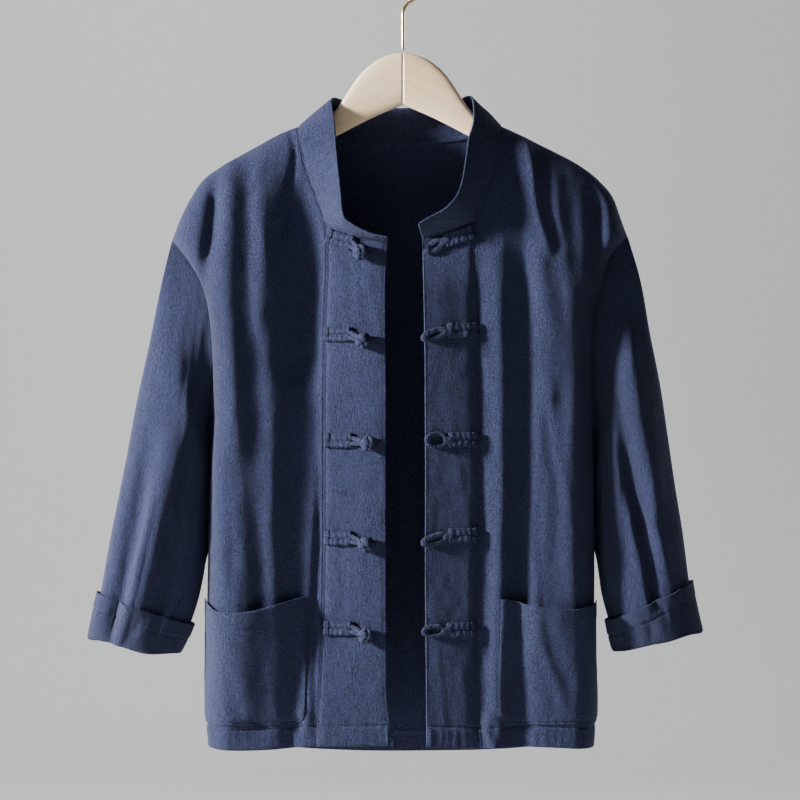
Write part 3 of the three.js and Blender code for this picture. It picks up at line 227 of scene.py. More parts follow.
# Upper edge of the collar, against the fraction of the neck seam from right front to left front.
COLLAR_EDGE = table(
    "at x y z", (0, -18.1, -51, -313.6), (0.03, -37.2, -51, -308.9), (0.075, -63.1, -53, -295.0),
    (0.108, -68.7, -54, -285.4), (0.155, -72.2, -49, -253.6), (0.195, -74.6, -43, -230.6),
    (0.25, -77.2, -32, -201.0), (0.29, -79.8, -21, -171.3), (0.318, -82.7, -5, -150.7),
    (0.36, -67.0, 13, -151.0), (0.43, -40.0, 21, -155.5), (0.515, 0.0, 26, -158.1),
    (0.6, 40.0, 21, -155.0), (0.665, 65.0, 13, -149.5), (0.7, 79.5, -3, -148.1),
    (0.73, 81.2, -21, -173.3), (0.79, 74.8, -34, -200.8), (0.84, 70.2, -45, -233.4),
    (0.88, 65.1, -51, -257.2), (0.91, 58.5, -54, -270.3), (0.94, 45.8, -55, -282.7),
    (0.97, 31.2, -54, -290.2), (1, 18.0, -54, -298.2))

# Frogs: the tab's end at the band seam, its inner end, and where its knot or loop ends.
TAB = dict(cord=8, thick=4, pitch=8.2, dip=7.2)
BALL = 9
KNOT = dict(radius=0.84 * BALL, leads=3, bights=4, tilt=math.radians(62), weave=0.7, lean=0.35)
LOOP_CORD = 5.2
FROG_COLUMNS = "x z innerX innerZ tipX tipZ eye"
KNOTS = table(
    FROG_COLUMNS, (-87.5, -309, -57, -318.5, -47.4, -329, 0),
    (-90.5, -421.4, -59.6, -421.4, -44.7, -429.5, 0), (-89.6, -541.9, -57.9, -541.9, -38.7, -545.5, 0),
    (-89.6, -652.6, -57.9, -652.6, -41.3, -659.5, 0), (-90.4, -754.6, -58.1, -754.6, -41.3, -762, 0))
LOOPS = table(
    FROG_COLUMNS, (79.5, -305, 47, -315.5, 24.8, -329, 4.2), (84, -416.9, 50, -417.5, 20.9, -427, 4.2),
    (84, -541.1, 51, -541.1, 23.7, -542, 7.4), (84, -649.2, 51, -649.6, 20.9, -658, 4.2),
    (82, -755.8, 49, -755.8, 20.5, -757, 5.4))

# Hanger and hook.
WOOD_HALF = 6.5
WOOD_CLEAR = 0.35
WOOD_SEAT = dict(clear=118, start=126, run=14)
WOOD_END = 222
WOOD_NOSE = 14
WOOD_TOP = table(
    "x z", (0, -97), (14.9, -99.3), (26.4, -103.8), (37.9, -111.3), (49.3, -122.2), (60.8, -138.3),
    (68.8, -150.9), (78, -163.5), (90, -176), (104, -186.5), (118, -191), (132, -191.5))
WOOD_BOTTOM = table("x z", (0, -156.6), (37.9, -173.3), (76.9, -193.3), (222, -268))
WIRE = 2
HOOK_INSIDE = 19
STEM_BEND = -52
HOOK_LEAN = math.radians(65)
HOOK_END = math.radians(206)

# Grids: the usual step, and a closer one beside stitching. Noise repeats after its lattice.
LATTICE = 64
STEP = 2.9
FINE_STEP = 0.75
FINE_REACH = 3
STITCH_INSET = 2.2
STITCH = dict(length=2.7, gap=1.0, width=0.55, high=0.28)


def mix(a, b, t):
    """The value a share t of the way from a to b."""
    return a + (b - a) * t


def clamp(value, low=0.0, high=1.0):
    return np.clip(value, low, high)


def ease(t):
    """A smooth rise from 0 to 1."""
    t = clamp(t)
    return t * t * (3 - 2 * t)


def bell(value, width):
    """A smooth bump of height 1 round 0."""
    return np.exp(-((value / width) ** 2))


def read(rows, source, value, target):
    """Column `target` of a table at a value of column `source`, on a smooth curve through its rows."""
    order = np.argsort(rows[source])
    xs, ys = rows[source][order], rows[target][order]
    steps = np.diff(ys) / np.diff(xs)
    slopes = np.concatenate([steps[:1], (steps[1:] + steps[:-1]) / 2, steps[-1:]])
    value = clamp(np.asarray(value, float), xs[0], xs[-1])
    k = clamp(np.searchsorted(xs, value, side="right") - 1, 0, len(xs) - 2)
    span = xs[k + 1] - xs[k]
    t = (value - xs[k]) / span
    bend = (slopes[k] - steps[k]) * (1 - t) - (slopes[k + 1] - steps[k]) * t
    return mix(ys[k], ys[k + 1], t) + t * (1 - t) * span * bend


RIGHT = dict(sign=-1, name="right", shoulder=SHOULDER_RIGHT, outer=OUTER_RIGHT, inner=INNER_RIGHT,
             edge=EDGE_RIGHT, neck=BAND_NECK_RIGHT, hem=HEM_RIGHT, sleeve=SLEEVE_RIGHT,
             folds=SLEEVE_FOLDS_RIGHT, mouth=MOUTH_RIGHT, pocket=-110)
LEFT = dict(sign=1, name="left", shoulder=SHOULDER_LEFT, outer=OUTER_LEFT, inner=INNER_LEFT,
            edge=EDGE_LEFT, neck=BAND_NECK_LEFT, hem=HEM_LEFT, sleeve=SLEEVE_LEFT,
            folds=SLEEVE_FOLDS_LEFT, mouth=MOUTH_LEFT, pocket=107.5)
HALVES = (RIGHT, LEFT)


def tip(half):
    """The shoulder point, where the armhole starts."""
    return half["shoulder"]["x"][-1], half["shoulder"]["z"][-1]


def shoulder_z(half, x):
    return read(half["shoulder"], "x", x, "z")


def outer_x(half, z):
    return read(half["outer"], "z", z, "x")


def fold_height(folds, x, z):
    """Height of all the folds of a table at places on a face."""
    height = np.zeros(np.broadcast(x, z).shape)
    for row in rows_of(folds):
        along = (row["topZ"] - z) / (row["topZ"] - row["endZ"])
        sway = FOLD_SWAY["reach"] * np.sin(along * FOLD_SWAY["turns"] + row["topX"])
        centre = mix(row["topX"], row["endX"], clamp(along)) + sway
        fade = ease((along + 0.08) / 0.2) * ease((1.1 - along) / 0.2)
        height += row["height"] * fade * bell(x - centre, row["width"])
    return height


def armhole_depth(half, z):
    """Distance of the armhole's edge from the hanger's plane."""
    top = tip(half)[1]
    along = clamp((top - z) / (top - UNDERARM))
    return SEAM / 2 + ARMHOLE_DEPTH * np.sin(np.pi * along) ** 0.7


def half_depth(face, half, x, z):
    """Distance of one half of a face from the hanger's plane."""
    below = np.maximum(shoulder_z(half, x) - z, 0)
    crown = face["depth"] * (1 - np.exp(-np.sqrt(face["round"] * below) / face["depth"]))
    folds = FRONT_FOLDS if face is FRONT else BACK_FOLDS
    full = crown + fold_height(folds, x, z) * ease(below / FOLD_START)
    edge = np.where(z < UNDERARM, SEAM / 2, armhole_depth(half, z))
    inside = 1 - clamp((outer_x(half, z) - x) * half["sign"] / SIDE_ROUND)
    return edge + np.maximum(full - edge, 0) * np.sqrt(1 - inside * inside)


def body_depth(face, x, z):
    """Distance of a face of the body from the hanger's plane, as in the frame."""
    return np.where(x < 0, half_depth(face, RIGHT, x, z), half_depth(face, LEFT, x, z))


def noise(x, z, across, along, seed):
    """Smooth noise from -1 to 1, with cells `across` by `along` millimetres."""
    lattice = np.random.RandomState(seed).uniform(-1, 1, (LATTICE, LATTICE))
    a, b = x / across, z / along
    i, j = np.floor(a).astype(int), np.floor(b).astype(int)
    s, t = ease(a - i), ease(b - j)

    def corner(di, dj):
        return lattice[(i + di) % LATTICE, (j + dj) % LATTICE]

    return mix(mix(corner(0, 0), corner(1, 0), s), mix(corner(0, 1), corner(1, 1), s), t)


def crumple(x, z, seed, amount=1.0):
    """The soft uneven wrinkles of washed linen: long ones down the cloth, and shorter slanting ones."""
    warp_x = x + 7 * noise(x, z, 40, 90, seed) + 0.12 * z
    warp_z = z + 12 * noise(x, z, 50, 60, seed + 1)
    long = 1 - 2 * np.abs(noise(warp_x, warp_z, 17, 95, seed + 2))
    slant = noise(warp_x - 0.5 * z, warp_z, 13, 34, seed + 3)
    small = noise(x, z, 6.5, 15, seed + 4)
    grain = noise(x, z, 3.6, 5.5, seed + 5)
    return amount * (0.42 * long + 0.34 * slant + 0.2 * small + 0.1 * grain)


def puckers(distance, along, seed, wave=11.0, height=0.55, reach=9.0):
    """Ripples that a row of stitches draws in the cloth beside it."""
    run = along + 4 * noise(along, distance, 23, 40, seed)
    ripple = np.sin(2 * np.pi * run / wave) + 0.6 * np.sin(2 * np.pi * run / (wave * 0.62) + 1.3)
    uneven = 0.55 + 0.45 * noise(along, distance, 31, 60, seed + 9)
    return height * ripple * bell(distance, reach) * uneven


def groove(distance, at, depth=0.8, width=1.1):
    """The furrow of a seam or a row of stitches."""
    return -depth * bell(distance - at, width)


def spaced(length, fine=(), step=STEP, start=None):
    """Places from 0 to 1 along a line of that length, closer together round the distances in fine."""
    places = list(start) if start is not None else [0.0]
    while places[-1] < length:
        near = min([abs(places[-1] - place) for place in fine] + [length])
        places.append(places[-1] + (FINE_STEP if near < FINE_REACH else step))
    return np.array(places) / places[-1]


def lengths(grid, axis):
    """Distance run along a grid's rows or columns, from its first edge."""
    steps = np.linalg.norm(np.diff(grid, axis=axis), axis=-1)
    start = np.zeros_like(np.take(steps, [0], axis=axis))
    return np.concatenate([start, np.cumsum(steps, axis=axis)], axis=axis)


def normals_of(grid, facing, closed=False):
    """Unit normals of a grid of points, pointing the way `facing` gives."""
    if closed:
        across = np.roll(grid, -1, axis=1) - np.roll(grid, 1, axis=1)
    else:
        across = np.gradient(grid, axis=1)
    down = np.gradient(grid, axis=0)
    normal = np.cross(across, down) * facing
    return normal / np.maximum(np.linalg.norm(normal, axis=-1, keepdims=True), 1e-9)


def unit(vector):
    return vector / np.maximum(np.linalg.norm(vector, axis=-1, keepdims=True), 1e-9)


def numbered(rows, columns, closed=False):
    """Point numbers of a grid. A closed one has its first column again at the end."""
    index = np.arange(rows * columns).reshape(rows, columns)
    return np.concatenate([index, index[:, :1]], axis=1) if closed else index


def quads_of(index):
    """Four-cornered faces between the neighbouring rows and columns of a grid of point numbers."""
    corners = (index[:-1, :-1], index[1:, :-1], index[1:, 1:], index[:-1, 1:])
    return np.stack(corners, axis=-1).reshape(-1, 4)


def strip_between(upper, lower):
    """Four-cornered faces between two lines of point numbers."""
    return np.stack([upper[:-1], upper[1:], lower[1:], lower[:-1]], axis=-1)


def tube_faces(rings, sides, closed=False):
    """Faces of a tube of rings: joined end to end if closed, or else with a flat face at each end."""
    index = numbered(rings, sides, closed=True)
    if closed:
        return quads_of(np.concatenate([index, index[:1]])).tolist()
    return quads_of(index).tolist() + [index[0, :-1].tolist(), index[-1, -2::-1].tolist()]


def outward(points, faces):
    """The faces of a closed solid, turned outwards."""
    corners = np.array([(face[0], face[k], face[k + 1]) for face in faces
                        for k in range(1, len(face) - 1)])
    a, b, c = (points[corners[:, k]] for k in range(3))
    inside_out = np.einsum("ij,ij->i", a, np.cross(b, c)).sum() < 0
    return [face[::-1] for face in faces] if inside_out else faces


def build(name, points, faces, material, nodes, thread=None):
    """A mesh piece that rides on the part. `thread` gives each point's flat place in its cloth."""
    mesh = bpy.data.meshes.new(name)
    mesh.from_pydata((points * MM).tolist(), [], outward(points, faces))
    mesh.update()
    if thread is not None:
        layer = mesh.attributes.new("thread", "FLOAT_VECTOR", "POINT")
        flat = np.zeros((len(points), 3), np.float32)
        flat[:, :2] = thread * MM
        layer.data.foreach_set("vector", flat.ravel())
    mesh.shade_smooth()
    mesh.materials.append(material)
    piece = bpy.data.objects.new(name, mesh)
    bpy.context.scene.collection.objects.link(piece)
    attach(piece, "root")
    if nodes:
        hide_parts(*nodes)
    return piece


def shell(name, grid, normals, thickness, material, node, free=(), closed=False, thread=None):
    """A cloth piece: its outer grid, the same moved in, and rims. `free` names the unsewn edges."""
    rows, columns = grid.shape[:2]
    layer = rows * columns
    inner = grid - normals * thickness
    middle = (grid + inner) / 2
    if thread is None:
        thread = np.stack([lengths(grid, 1), lengths(grid, 0)], axis=-1)
    points = [grid.reshape(-1, 3), inner.reshape(-1, 3)]
    flat = [thread.reshape(-1, 2)] * 2
    quads = quads_of(numbered(rows, columns, closed))
    faces = quads.tolist() + (quads[:, ::-1] + layer).tolist()
    index = numbered(rows, columns)
    edges = {"top": (index[0], middle[0], middle[1], thread[0]),
             "bottom": (index[-1], middle[-1], middle[-2], thread[-1])}
    if not closed:
        edges["first"] = (index[:, 0], middle[:, 0], middle[:, 1], thread[:, 0])
        edges["last"] = (index[:, -1], middle[:, -1], middle[:, -2], thread[:, -1])
    count = 2 * layer
    for edge, (outer, rim, beside, places) in edges.items():
        bulge = FREE_RIM * thickness if edge in free else SEWN_RIM
        points.append(rim + unit(rim - beside) * bulge)
        flat.append(places)
        ring = np.arange(count, count + len(outer))
        count += len(outer)
        low = outer + layer
        if closed:
            outer, low, ring = (np.append(part, part[0]) for part in (outer, low, ring))
        turn = 1 if edge in ("top", "last") else -1
        faces += strip_between(outer, ring)[:, ::turn].tolist()
        faces += strip_between(ring, low)[:, ::turn].tolist()
    return build(name, np.concatenate(points), faces, material, [node], np.concatenate(flat))


def inset_line(grid, normals, edge, distance, start=0.0, stop=1.0):
    """Points and normals on a grid at a distance in from one of its edges."""
    if edge in ("first", "last"):
        grid, normals = grid.swapaxes(0, 1), normals.swapaxes(0, 1)
    if edge in ("bottom", "last"):
        grid, normals = grid[::-1], normals[::-1]
    run = lengths(grid, 0)
    count = grid.shape[1]
    points, ups = [], []
    for i in range(int(start * (count - 1)), int(stop * (count - 1)) + 1):
        k = int(np.searchsorted(run[:, i], distance)) - 1
        t = (distance - run[k, i]) / (run[k + 1, i] - run[k, i])
        points.append(mix(grid[k, i], grid[k + 1, i], t))
        ups.append(mix(normals[k, i], normals[k + 1, i], t))
    return np.array(points), unit(np.array(ups))


STITCHES = []


def stitch(points, ups, length=STITCH["length"], lift=0.05):
    """Lays a row of stitches along a line: each is a small rounded bar."""
    run = lengths(points[:, None], 0)[:, 0]
    pitch = length + STITCH["gap"]
    for k in range(int(run[-1] / pitch)):
        places = (k + np.array([0, 0.2, 0.8, 1]) * length / pitch) * pitch
        centre = np.stack([np.interp(places, run, points[:, axis]) for axis in range(3)], axis=-1)
        up = unit(np.stack([np.interp(places, run, ups[:, axis]) for axis in range(3)], axis=-1))
        side = unit(np.cross(unit(centre[-1] - centre[0]), up))
        rise = np.array([-0.1, STITCH["high"], STITCH["high"], -0.1])[:, None]
        wide = np.array([0.3, 1, 1, 0.3])[:, None] * STITCH["width"] / 2
        crest = centre + up * (rise + lift)
        bar = np.stack([centre + side * wide - up * 0.25, crest + side * wide * 0.6,
                        crest - side * wide * 0.6, centre - side * wide - up * 0.25], axis=1)
        STITCHES.append(bar.reshape(-1, 3))


def finish_stitches(name, material):
    """Joins all the stitches laid so far into one piece."""
    bar_faces = np.array(tube_faces(4, 4))
    faces = [face for k in range(len(STITCHES)) for face in (bar_faces + 16 * k).tolist()]
    points = np.concatenate(STITCHES)
    STITCHES.clear()
    return build(name, points, faces, material, [], points[:, [0, 2]])


# Materials.
OBJECT_COORDS = 3


class Look:
    """A Principled material and short ways to add nodes to it."""

    def __init__(self, name, roughness, **uniform):
        self.material = bpy.data.materials.new(name)
        self.material.use_nodes = True
        self.tree = self.material.node_tree
        self.shader = self.tree.nodes["Principled BSDF"]
        self.shader.inputs["Roughness"].default_value = roughness
        for key, value in uniform.items():
            self.shader.inputs[key.replace("_", " ")].default_value = value

    def add(self, kind, inputs=(), output=0, **settings):
        node = self.tree.nodes.new("ShaderNode" + kind)
        for key, value in settings.items():
            setattr(node, key, value)
        for key, value in dict(inputs).items():
            if isinstance(value, bpy.types.NodeSocket):
                self.tree.links.new(value, node.inputs[key])
            else:
                node.inputs[key].default_value = value
        return node.outputs[output]

    def math(self, operation, a, b):
        return self.add("Math", {0: a, 1: b}, operation=operation)

    def total(self, *parts):
        """The sum of some sockets, each times its weight."""
        found = self.math("MULTIPLY", *parts[0])
        for part in parts[1:]:
            found = self.math("ADD", found, self.math("MULTIPLY", *part))
        return found

    def place(self, attribute, scale):
        if attribute:
            source = self.add("Attribute", attribute_name=attribute, output=1)
        else:
            source = self.add("TexCoord", output=OBJECT_COORDS)
        return self.add("Mapping", {"Vector": source, "Scale": scale})

    def noise(self, attribute, scale, detail=3.0, rough=0.55, distortion=0.0):
        vector = self.place(attribute, scale)
        return self.add("TexNoise", {"Vector": vector, "Scale": 1.0, "Detail": detail,
                                     "Roughness": rough, "Distortion": distortion})

    def bands(self, scale, direction):
        """The threads that run one way, slightly bent."""
        vector = self.place("thread", (1, 1, 1))
        inputs = {"Vector": vector, "Scale": scale, "Distortion": 0.6, "Detail": 1.0}
        return self.add("TexWave", inputs, output=1, wave_type="BANDS", bands_direction=direction)

    def ramp(self, value, *stops):
        node = self.tree.nodes.new("ShaderNodeValToRGB")
        self.tree.links.new(value, node.inputs[0])
        elements = node.color_ramp.elements
        while len(elements) < len(stops):
            elements.new(0.5)
        for element, (place, colour) in zip(elements, stops):
            element.position = place
            element.color = (*colour, 1)
        return node.outputs[0]

    def bump(self, height, distance, strength=1.0):
        normal = self.add("Bump", {"Height": height, "Distance": distance, "Strength": strength})
        self.tree.links.new(normal, self.shader.inputs["Normal"])

    def colour(self, socket):
        self.tree.links.new(socket, self.shader.inputs["Base Color"])

    def roughness(self, value, low, high):
        node = self.add("MapRange", {"Value": value, "To Min": low, "To Max": high})
        self.tree.links.new(node, self.shader.inputs["Roughness"])


def linen(name, dark, light, nap=1.0, slub=1.0, weave=1.0):
    """Washed linen: plain weave, slubs along warp and weft, a soft crinkled nap and faded high spots."""
    look = Look(name, 0.92, Sheen_Weight=0.07, Sheen_Roughness=0.5, Specular_IOR_Level=0.12)
    crinkle = look.noise("thread", (560, 360, 1), 3.5, 0.68, 0.5)
    warp = look.noise("thread", (1500, 70, 1), 2.0)
    weft = look.noise("thread", (80, 1500, 1), 2.0)
    patches = look.noise("thread", (28, 16, 1), 3.0)
    threads = look.total((look.bands(420.0, "X"), 0.5), (look.bands(400.0, "Y"), 0.5))
    slubs = look.total((warp, 0.6), (weft, 0.4))
    fade = look.total((crinkle, 0.42), (slubs, 0.34 * slub), (patches, 0.07), (threads, 0.08 * weave))
    middle = 0.415 + 0.17 * (slub - 1)
    look.colour(look.ramp(fade, (middle - 0.075, dark), (middle + 0.085, light)))
    look.bump(look.total((crinkle, nap), (slubs, 0.45 * slub), (threads, 0.12 * weave)), 0.0048)
    look.roughness(crinkle, 0.84, 0.98)
    return look.material


NAVY_DARK = (0.008, 0.0105, 0.028)
NAVY_LIGHT = (0.05, 0.062, 0.152)
CLOTH_LOOK = linen("washed_linen", NAVY_DARK, NAVY_LIGHT)
BAND_LOOK = linen("slubbed_linen", NAVY_DARK, NAVY_LIGHT, nap=0.8, slub=1.4)
CUFF_LOOK = linen("linen_reverse", (0.0105, 0.0135, 0.036), (0.04, 0.05, 0.122),
                  nap=0.35, slub=1.2, weave=2.0)
CORD_LOOK = linen("corded_linen", (0.009, 0.0115, 0.03), (0.05, 0.061, 0.147), nap=0.9, slub=0.8)


def thread_look():
    """Navy sewing thread."""
    look = Look("sewing_thread", 0.6, Sheen_Weight=0.1, Specular_IOR_Level=0.3)
    twist = look.noise("", (900, 900, 900), 2.0)
    look.colour(look.ramp(twist, (0.3, (0.012, 0.017, 0.042)), (0.7, (0.035, 0.046, 0.1))))
    look.bump(twist, 0.0002)
    return look.material


def wood_look(name, sign):
    """Pale varnished beech whose grain follows the arm."""
    look = Look(name, 0.42, Specular_IOR_Level=0.45, Coat_Weight=0.25, Coat_Roughness=0.25)
    turned = look.add("Mapping", {"Vector": look.add("TexCoord", output=OBJECT_COORDS),
                                  "Rotation": (0, sign * math.radians(28), 0)})

    def grain(scale, **inputs):
        vector = look.add("Mapping", {"Vector": turned, "Scale": scale})
        return look.add("TexNoise", {"Vector": vector, "Scale": 1.0, **inputs})

    long = grain((14, 120, 190), Detail=4.0, Roughness=0.6, Distortion=0.8)
    broad = grain((5, 30, 34), Detail=2.0, Distortion=1.2)
    flecks = grain((90, 700, 1100), Detail=1.0)
    tone = look.total((long, 0.45), (broad, 0.4), (flecks, 0.15))
    look.colour(look.ramp(tone, (0.3, (0.85, 0.56, 0.31)), (0.5, (0.98, 0.74, 0.47)),
                          (0.7, (1.0, 0.84, 0.6))))
    look.bump(look.math("ADD", long, flecks), 0.00012)
    look.roughness(long, 0.36, 0.5)
    return look.material


def brass_look():
    """Polished brass with fine scratches."""
    look = Look("brass", 0.25, Metallic=1.0)
    scratches = look.noise("", (900, 900, 60), 3.0)
    look.colour(look.ramp(scratches, (0.3, (0.6, 0.43, 0.2)), (0.7, (0.83, 0.66, 0.36))))
    look.roughness(scratches, 0.18, 0.34)
    look.bump(scratches, 0.00003)
    return look.material


# Body panels. Below the shoulder seam their rows are close and then spread.
CROWN = [0.3 * k * k / 8 for k in range(13)]


def row_levels(half, v, line):
    """Heights along the outer or inner boundary of a panel, as in the frame."""
    if line == "outer":
        top, middle, share = tip(half)[1], UNDERARM, ARM_SHARE
    else:
        top, middle, share = NECK_LEVEL, BAND_TOP, NECK_SHARE
    below = mix(middle, half[line]["z"][-1], (v - share) / (1 - share))
    return np.where(v < share, mix(top, middle, v / share), below)


def patch(top, bottom, start, end, u, v):
    """Fills a four-sided flat patch. Each side is a pair of x and z arrays."""
    u, v = u[None, :], v[:, None]
    found = []
    for key in range(2):
        t, b, s, e = top[key][None, :], bottom[key][None, :], start[key][:, None], end[key][:, None]
        corners = mix(mix(t[:, :1], t[:, -1:], u), mix(b[:, :1], b[:, -1:], u), v)
        found.append(mix(t, b, v) + mix(s, e, u) - corners)
    return found


def side_shares(width, count=13):
    """Places from 0 to 1 across the rounded side of a panel, closest at the seam."""
    return 1 - SIDE_ROUND * (1 - np.cos(np.linspace(np.pi / 2, 0, count))) / width


def place_on(face, x, z):
    """Points on a face of the body."""
    return np.stack([x, face["sign"] * body_depth(face, x, z), z], axis=-1)


def side_normals(half, z):
    """Directions in the hanger's plane that point away from the body at its outer boundary."""
    slope = (outer_x(half, z - 1) - outer_x(half, z + 1)) / 2
    return unit(np.stack([np.ones_like(z), 0 * z, slope], axis=-1)) * half["sign"]


def seam_normals(grid, normals, half, column, shoulder):
    """Turns a panel's normals into its own plane along the side and shoulder seams."""
    normals[:, column] = side_normals(half, grid[:, column, 2])
    x = grid[0, shoulder, 0]
    slope = (shoulder_z(half, x + 1) - shoulder_z(half, x - 1)) / 2
    normals[0, shoulder] = unit(np.stack([-slope, 0 * x, np.ones_like(x)], axis=-1))


def body_relief(face, x, z):
    """Finer creases and wrinkles of a body face at flat places. The left band leans out to its edge."""
    if face is FRONT:
        across = clamp((BAND_LEAN["seam"] - x) / BAND_LEAN["wide"]) * (x > 0)
        lean = BAND_LEAN["height"] * across * ease((BAND_LEAN["start"] - z) / BAND_LEAN["fade"])
        return fold_height(FRONT_CREASES, x, z) + crumple(x, z, 11, 0.8) + lean
    return fold_height(BACK_CREASES, x, z) + crumple(x, z, 41, 0.8)


def hem_relief(distance, along, seed):
    """The doubled hem, its stitch line and its puckers, by the distance up from the edge."""
    relief = 0.55 * ease((HEM_DEEP - distance) / 1.6) + groove(distance, HEM_DEEP)
    return relief + puckers(distance - HEM_DEEP * 0.5, along, seed, 10.5, 0.5, 12)


def relieve(grid, facing, relief):
    """Moves a grid out along its own normals, and gives it with its new normals."""
    grid = grid + normals_of(grid, facing) * relief[..., None]
    return grid, normals_of(grid, facing)


def with_normals(grid, normals):
    """A grid whose places each hold a point and the cloth's normal there."""
    return np.concatenate([grid, normals], axis=-1)


def front_panel(half):
    """One front, from the shoulder seam to the hem and from its band's seam to the side."""
    inner_z = row_levels(half, PANEL_V, "inner")
    outer_z = row_levels(half, PANEL_V, "outer")
    neck_x, tip_x = half["shoulder"]["x"][0], tip(half)[0]
    top_x = mix(neck_x, tip_x, PANEL_U)
    inner_x = read(half["inner"], "z", inner_z, "x")
    side_x = outer_x(half, outer_z)
    hem_x = mix(inner_x[-1], side_x[-1], PANEL_U)
    x, z = patch((top_x, shoulder_z(half, top_x)), (hem_x, read(half["hem"], "x", hem_x, "z")),
                 (inner_x, inner_z), (side_x, outer_z), PANEL_U, PANEL_V)
    base = place_on(FRONT, x, z)
    across, down = lengths(base, 1), lengths(base, 0)
    from_side, from_hem = across[:, -1:] - across, down[-1:] - down
    relief = body_relief(FRONT, x, z) * ease(from_side / SIDE_CALM) * ease(down / TOP_CALM)
    relief += hem_relief(from_hem, x, 5)
    relief += puckers(across, z, 7, 9, 0.28, 5) * ease(-(z - BAND_TOP) / 20)
    relief += groove(across, 0, 0.45, 0.9) + groove(from_side, 0, 0.3, 1.2) * (z < UNDERARM)
    relief *= ease((down + 0.5) / 4)
    grid, normals = relieve(base, -half["sign"], relief)
    seam_normals(grid, normals, half, -1, slice(None))
    name = half["name"]
    piece = shell(f"panel_front_{name}", grid, normals, SHELL, CLOTH_LOOK, f"front_{name}",
                  free=("bottom",))
    stitch(*inset_line(grid, normals, "bottom", HEM_DEEP, 0, 0.9))
    return piece, with_normals(grid, normals)


PANEL_WIDTH = 135
PANEL_LENGTH = 640
side_part = side_shares(PANEL_WIDTH)
flat_part = spaced(PANEL_WIDTH - SIDE_ROUND, fine=(0,)) * side_part[0]
PANEL_U = np.concatenate([flat_part[:-1], side_part])
PANEL_V = spaced(PANEL_LENGTH, fine=(PANEL_LENGTH - HEM_DEEP,), start=CROWN)


def band(half):
    """The doubled band down a front edge, stitched along both sides."""
    band_v = np.concatenate([[NECK_SHARE], PANEL_V[PANEL_V >= NECK_SHARE]])
    z_seam = row_levels(half, band_v, "inner")
    share = (band_v - NECK_SHARE) / (1 - NECK_SHARE)
    edge_z = mix(half["edge"]["z"][0], half["edge"]["z"][-1], share)
    edge_x = read(half["edge"], "z", edge_z, "x")
    seam_x = read(half["inner"], "z", z_seam, "x") - half["sign"] * SEAM
    u = spaced(BAND_WIDTH, fine=(STITCH_INSET, BAND_WIDTH - 2))[None, :]
    x = mix(seam_x[:, None], edge_x[:, None], u)
    z = mix(z_seam[:, None], edge_z[:, None], u)
    sag = read(half["neck"], "x", x[0], "z") - z[0]
    z = z + sag[None, :] * ease(1 - share * 12)[:, None]
    y = -body_depth(FRONT, x, z) - BAND_PROUD * ease(u * 8)
    base = np.stack([x, y, z], axis=-1)
    across, down = lengths(base, 1), lengths(base, 0)
    from_edge, from_hem = across[:, -1:] - across, down[-1:] - down
    relief = body_relief(FRONT, x, z)
    relief += hem_relief(from_hem, x * 1.1, 15) * 1.1
    relief += groove(across, STITCH_INSET) + puckers(across, z, 17, 8, 0.3, 6)
    relief += groove(from_edge, STITCH_INSET, 0.3) + puckers(from_edge, z, 19, 9, 0.16, 5)
    grid, normals = relieve(base, half["sign"], relief)
    name = half["name"]
    piece = shell(f"panel_band_{name}", grid, normals, BAND_SHELL, BAND_LOOK, f"band_{name}",
                  free=("bottom", "last"))
    for edge, distance in (("first", STITCH_INSET), ("last", STITCH_INSET), ("bottom", HEM_DEEP)):
        stitch(*inset_line(grid, normals, edge, distance))
    return piece, with_normals(grid, normals)


def back_panel():
    """The back in one piece, from the shoulders and the neck to the hem."""
    first, last = tip(RIGHT)[0], tip(LEFT)[0]
    width = last - first
    side = (1 - side_shares(width))[::-1]
    middle = spaced(width - 2 * SIDE_ROUND) * (1 - 2 * side[-1]) + side[-1]
    u = np.concatenate([side[:-1], middle, (1 - side[:-1])[::-1]])
    top_x = mix(first, last, u)
    right_end, left_end = RIGHT["shoulder"]["x"][0], LEFT["shoulder"]["x"][0]
    top_z = np.where(top_x < 0, shoulder_z(RIGHT, top_x), shoulder_z(LEFT, top_x))
    top_z = np.where((top_x > right_end) & (top_x < left_end), read(BACK_NECK, "x", top_x, "z"), top_z)
    levels = [row_levels(half, PANEL_V, "outer") for half in HALVES]
    sides = [(outer_x(half, level), level) for half, level in zip(HALVES, levels)]
    hem_x = mix(sides[0][0][-1], sides[1][0][-1], u)
    x, z = patch((top_x, top_z), (hem_x, read(HEM_BACK, "x", hem_x, "z")), *sides, u, PANEL_V)
    base = place_on(BACK, x, z)
    across, down = lengths(base, 1), lengths(base, 0)
    from_side = np.minimum(across, across[:, -1:] - across)
    relief = body_relief(BACK, x, z) * ease(from_side / SIDE_CALM) * ease(down / TOP_CALM)
    relief += hem_relief(down[-1:] - down, x, 25)
    relief += groove(from_side, 0, 0.3, 1.2) * (z < UNDERARM)
    relief *= ease((down + 0.5) / 4)
    grid, normals = relieve(base, 1, relief)
    seam_normals(grid, normals, RIGHT, 0, np.flatnonzero(top_x <= right_end))
    seam_normals(grid, normals, LEFT, -1, np.flatnonzero(top_x >= left_end))
    piece = shell("panel_back", grid, normals, SHELL, CLOTH_LOOK, "back", free=("bottom",))
    stitch(*inset_line(grid, normals, "bottom", HEM_DEEP, 0.06, 0.94))
    return piece, with_normals(grid, normals)


def resample(points, step):
    """The same line with its points spaced evenly, about a step apart."""
    run = lengths(points[:, None, :3], 0)[:, 0]
    places = np.linspace(0, run[-1], max(int(run[-1] / step), 2))
    return np.stack([np.interp(places, run, column) for column in points.T], axis=-1)


